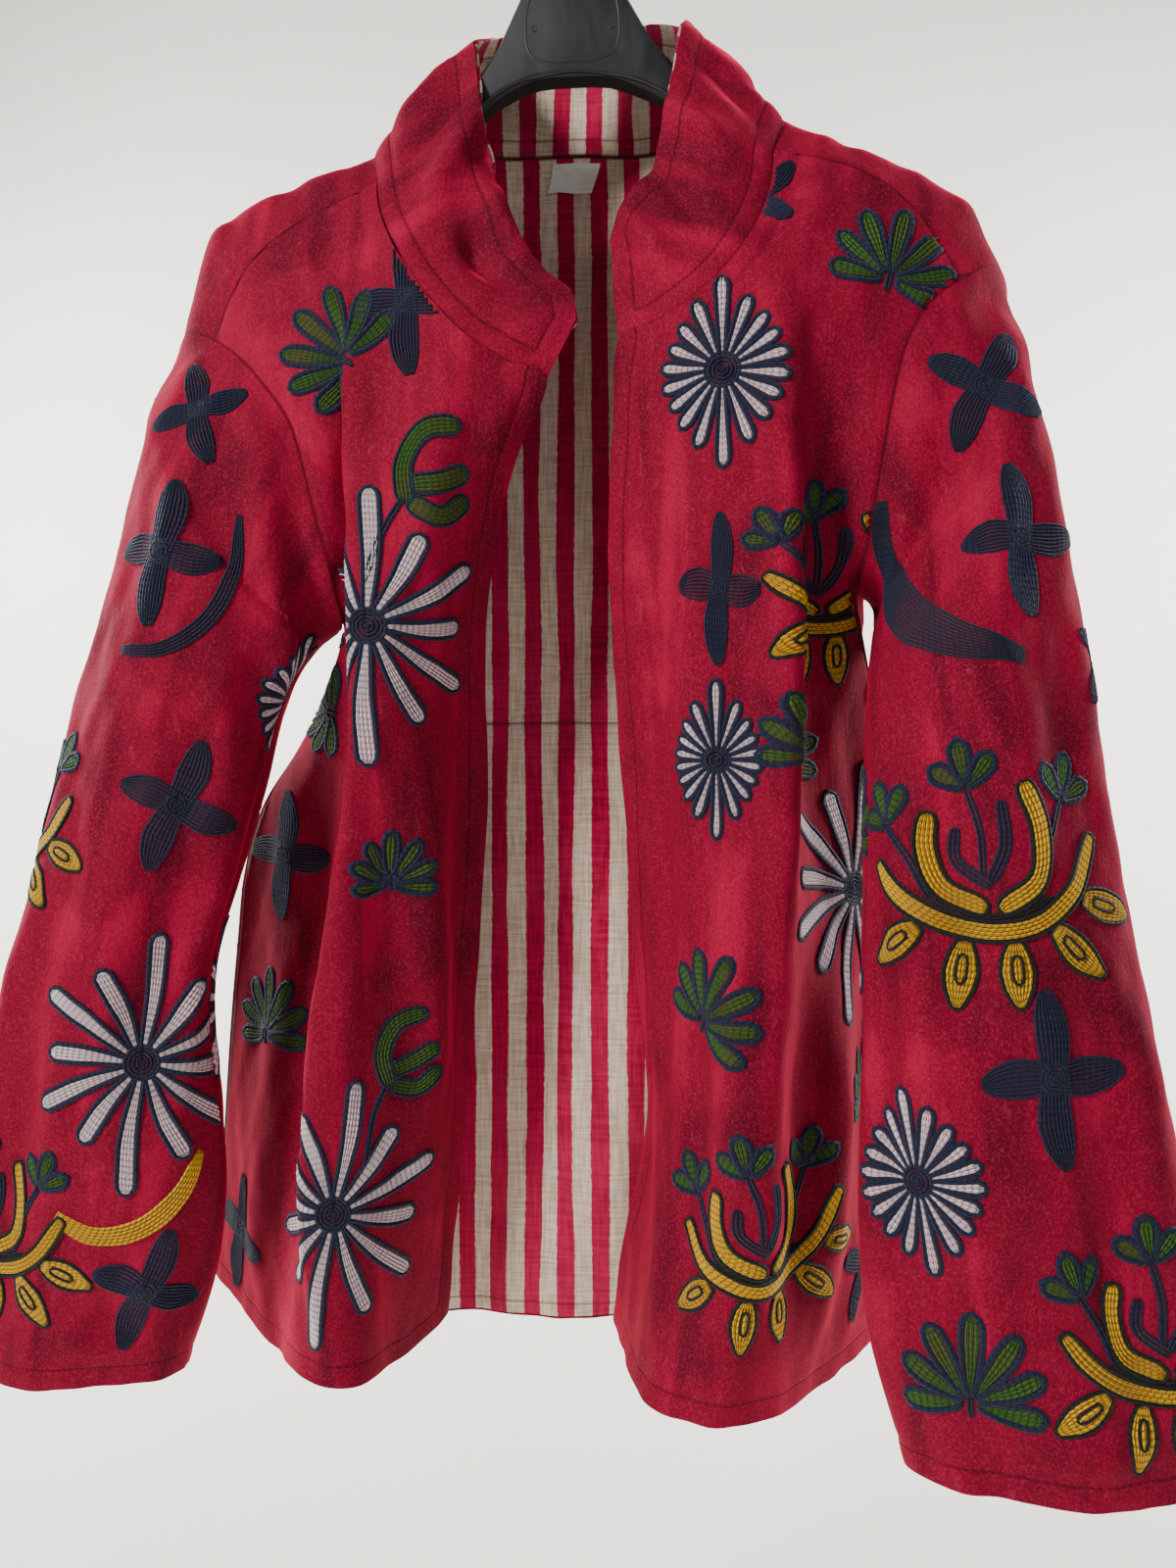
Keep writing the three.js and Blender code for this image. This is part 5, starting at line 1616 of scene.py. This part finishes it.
def tube_along(name, points, radius, sides, cyclic=False):
    """A round bar along some points, closed at its ends or joined to a ring."""
    bpy.ops.object.select_all(action="DESELECT")
    curve = bpy.data.curves.new(name, "CURVE")
    curve.dimensions = "3D"
    curve.bevel_depth = radius * MM
    curve.bevel_resolution = max(1, sides // 4 - 1)
    curve.use_fill_caps = True
    run = curve.splines.new("POLY")
    run.points.add(len(points) - 1)
    for spot, place in zip(run.points, points):
        spot.co = (*(part * MM for part in place), 1)
    run.use_cyclic_u = cyclic
    select_only(put_in_scene(name, curve))
    bpy.ops.object.convert(target="MESH")
    bpy.ops.object.shade_smooth_by_angle(angle=math.radians(TUBE_ANGLE))
    return bpy.context.object


def add_hanger_shell(plastic):
    shell = copy_of_node("hanger_shell", "hanger_body")
    finish_with(shell, "BEVEL", "soft_edges", width=SHELL_BEVEL * MM, segments=3,
                limit_method="ANGLE", angle_limit=math.radians(SHELL_BEVEL_ANGLE))
    bpy.ops.object.shade_smooth_by_angle(angle=math.radians(SHELL_ANGLE))
    dress(shell, plastic, "hanger_plastic", "hanger_body")
    return shell


# The raised outline on the front of the hanger's dome, half of it: across and up
DOME_PANEL = ((0, -136), (12, -135.5), (21, -132.5), (24.5, -127), (25.5, -117), (24, -104),
              (20, -92), (15, -80))
# The rim that follows the lower edge of the dome's arch: across and up
ARCH = ((-76, -185), (-62, -170), (-49, -156), (-38, -148.5), (-28, -144), (-14, -141), (0, -140),
        (14, -141), (28, -144), (40, -148.5), (53, -155.5), (68, -168), (84, -182))

PIT_PLACES = (("hanger_pit_right", -21), ("hanger_pit_left", 21))
PIT_HEIGHT = -117.0
PIT_RADIUS = 1.4
PIT_SIDES = 16

# Half thickness of each raised line, and how far its middle lies behind the face
PANEL_LINE = (0.6, 0.25)
PIT_LINE = (0.4, 0.1)
RIM_LINE = (1.1, 0.4)
LINE_SIDES = 8
# A place in front of the hanger, from which its face is looked for
LOOK_FROM_Y = -200.0


def face_of(piece, x, z):
    """Depth (y) of the front of a piece at a place across and up, in millimetres."""
    mesh = piece.data
    faces = [list(face.vertices) for face in mesh.polygons]
    tree = BVHTree.FromPolygons([vertex.co for vertex in mesh.vertices], faces)
    hit = tree.ray_cast(Vector((x * MM, LOOK_FROM_Y * MM, z * MM)), Vector((0, 1, 0)))[0]
    return hit.y / MM if hit else HANGER_FACE_Y


def add_raised_line(name, shell, line, size, plastic, cyclic=False):
    """A thin round line of plastic that follows the front of the hanger's shell."""
    radius, sunk = size
    points = [(x, face_of(shell, x, z) + sunk, z) for x, z in line]
    dress(tube_along(name, points, radius, LINE_SIDES, cyclic), plastic, "hanger_plastic")


def add_dome_panel(shell, plastic):
    """The plain raised line of the dome's panel, its two round pits, and the rim along the arch."""
    half = flat_curve(DOME_PANEL)
    outline = np.vstack([half[::-1] * (-1, 1), half[1:]])
    add_raised_line("hanger_panel_line", shell, outline, PANEL_LINE, plastic)
    turns = np.linspace(0, 2 * math.pi, PIT_SIDES + 1)[:-1]
    for name, across in PIT_PLACES:
        ring = np.column_stack([np.cos(turns), np.sin(turns)]) * PIT_RADIUS + (across, PIT_HEIGHT)
        add_raised_line(name, shell, ring, PIT_LINE, plastic, cyclic=True)
    add_raised_line("hanger_arch_rim", shell, flat_curve(ARCH), RIM_LINE, plastic)


# The care label, at the back neck: its rows and columns of the back, and how far its end curls
LABEL_ROWS = (0.12, 0.8)
LABEL_COLUMNS = (10.6, 11.45)
LABEL_CURL = 3.0
LABEL_STEPS = 14


def label_curl(flat, to_edge, to_seam):
    """How far the loose end of the label stands out from the lining, as a depth."""
    share = np.linspace(0, 1, flat.shape[0])[:, None]
    return LABEL_CURL * share ** 2 + np.zeros(flat.shape[:2])


def add_label():
    places = between(*LABEL_ROWS, LABEL_STEPS), between(*LABEL_COLUMNS, LABEL_STEPS)
    return cloth_layer("label_tape", panels["back"], (LABEL_DEPTH, LABEL_DEPTH + LABEL_TAPE), *places,
                       tape_material(), "label_tape", "care_label", label_curl)


def add_hook():
    hook = copy_of_node("hook_wire", "hanger_hook")
    finish_with(hook, "SUBSURF", "round_wire", levels=1, render_levels=1)
    bpy.ops.object.shade_smooth()
    dress(hook, steel_material(), "hook_steel", "hanger_hook")


plastic = plastic_material()
add_dome_panel(add_hanger_shell(plastic), plastic)
add_hook()
add_label()


# Camera, where the photograph was taken from: its place, its turn, and a 27 mm lens on the long side
CAMERA_PLACE = (58.2, -637.4, -525.0)
CAMERA_TURN = 4.5
CAMERA_LENS = 27.0


def add_camera():
    data = bpy.data.cameras.new("camera")
    data.lens = CAMERA_LENS
    data.sensor_width = 36.0
    data.clip_start, data.clip_end = 0.01, 50.0
    camera = put_in_scene("camera", data)
    camera.location = [part * MM for part in CAMERA_PLACE]
    camera.rotation_euler = (math.radians(90), 0, math.radians(CAMERA_TURN))
    bpy.context.scene.camera = camera


def add_area_light(name, place, target, size, power, tint=(1, 1, 1)):
    data = bpy.data.lights.new(name, "AREA")
    data.shape, data.size, data.energy, data.color = "DISK", size, power, tint
    light = put_in_scene(name, data)
    light.location = place
    light.rotation_euler = (Vector(target) - Vector(place)).to_track_quat("-Z", "Y").to_euler()


# Floor, backdrop and lights, in metres
FLOOR_HEIGHT = -1.35
BACKDROP_Y = 2.3
SWEEP_RADIUS = 0.9
SWEEP_POINTS = 17
STAGE_HALF_WIDTH = 5.0
STAGE_FRONT = -4.0
STAGE_TOP = 4.0


def add_stage():
    """A pale floor that sweeps up into a pale wall behind."""
    middle_y, middle_z = BACKDROP_Y - SWEEP_RADIUS, FLOOR_HEIGHT + SWEEP_RADIUS
    angles = np.linspace(-math.pi / 2, 0, SWEEP_POINTS)
    line = [(STAGE_FRONT, FLOOR_HEIGHT)]
    line += [(middle_y + SWEEP_RADIUS * math.cos(a), middle_z + SWEEP_RADIUS * math.sin(a)) for a in angles]
    line.append((BACKDROP_Y, STAGE_TOP))
    vertices = np.array([(x, y, z) for y, z in line for x in (-STAGE_HALF_WIDTH, STAGE_HALF_WIDTH)])
    faces = [[2 * i, 2 * i + 1, 2 * i + 3, 2 * i + 2] for i in range(len(line) - 1)]
    sweep = new_piece("stage_sweep", vertices, faces)
    material, tree, shader = new_material("pale_wall")
    place = object_place(tree)
    finish(shader, roughness=0.9)
    feed(tree, shader.inputs["Base Color"],
         blend(tree, noise(tree, place, 3, 3), colour("E4E3DA"), colour("ECEBE3")))
    sweep.data.materials.append(material)


def add_lights():
    world = bpy.data.worlds.new("pale_room")
    world.use_nodes = True
    sky = next(n for n in world.node_tree.nodes if n.type == "BACKGROUND")
    sky.inputs["Color"].default_value = (0.95, 0.96, 1.0, 1.0)
    sky.inputs["Strength"].default_value = 0.14
    bpy.context.scene.world = world
    add_area_light("window_light", (-1.7, -1.7, 0.7), (0, 0, -0.5), 0.7, 84, (1, 0.98, 0.95))
    add_area_light("room_light", (1.6, -2.0, 0.1), (0, 0, -0.55), 1.8, 11, (0.95, 0.97, 1))
    for name, x in (("wall_light_left", -1.9), ("wall_light_right", 1.9)):
        add_area_light(name, (x, 0.9, 0.2), (0, BACKDROP_Y, -0.5), 1.2, 115)


add_camera()
add_stage()
add_lights()
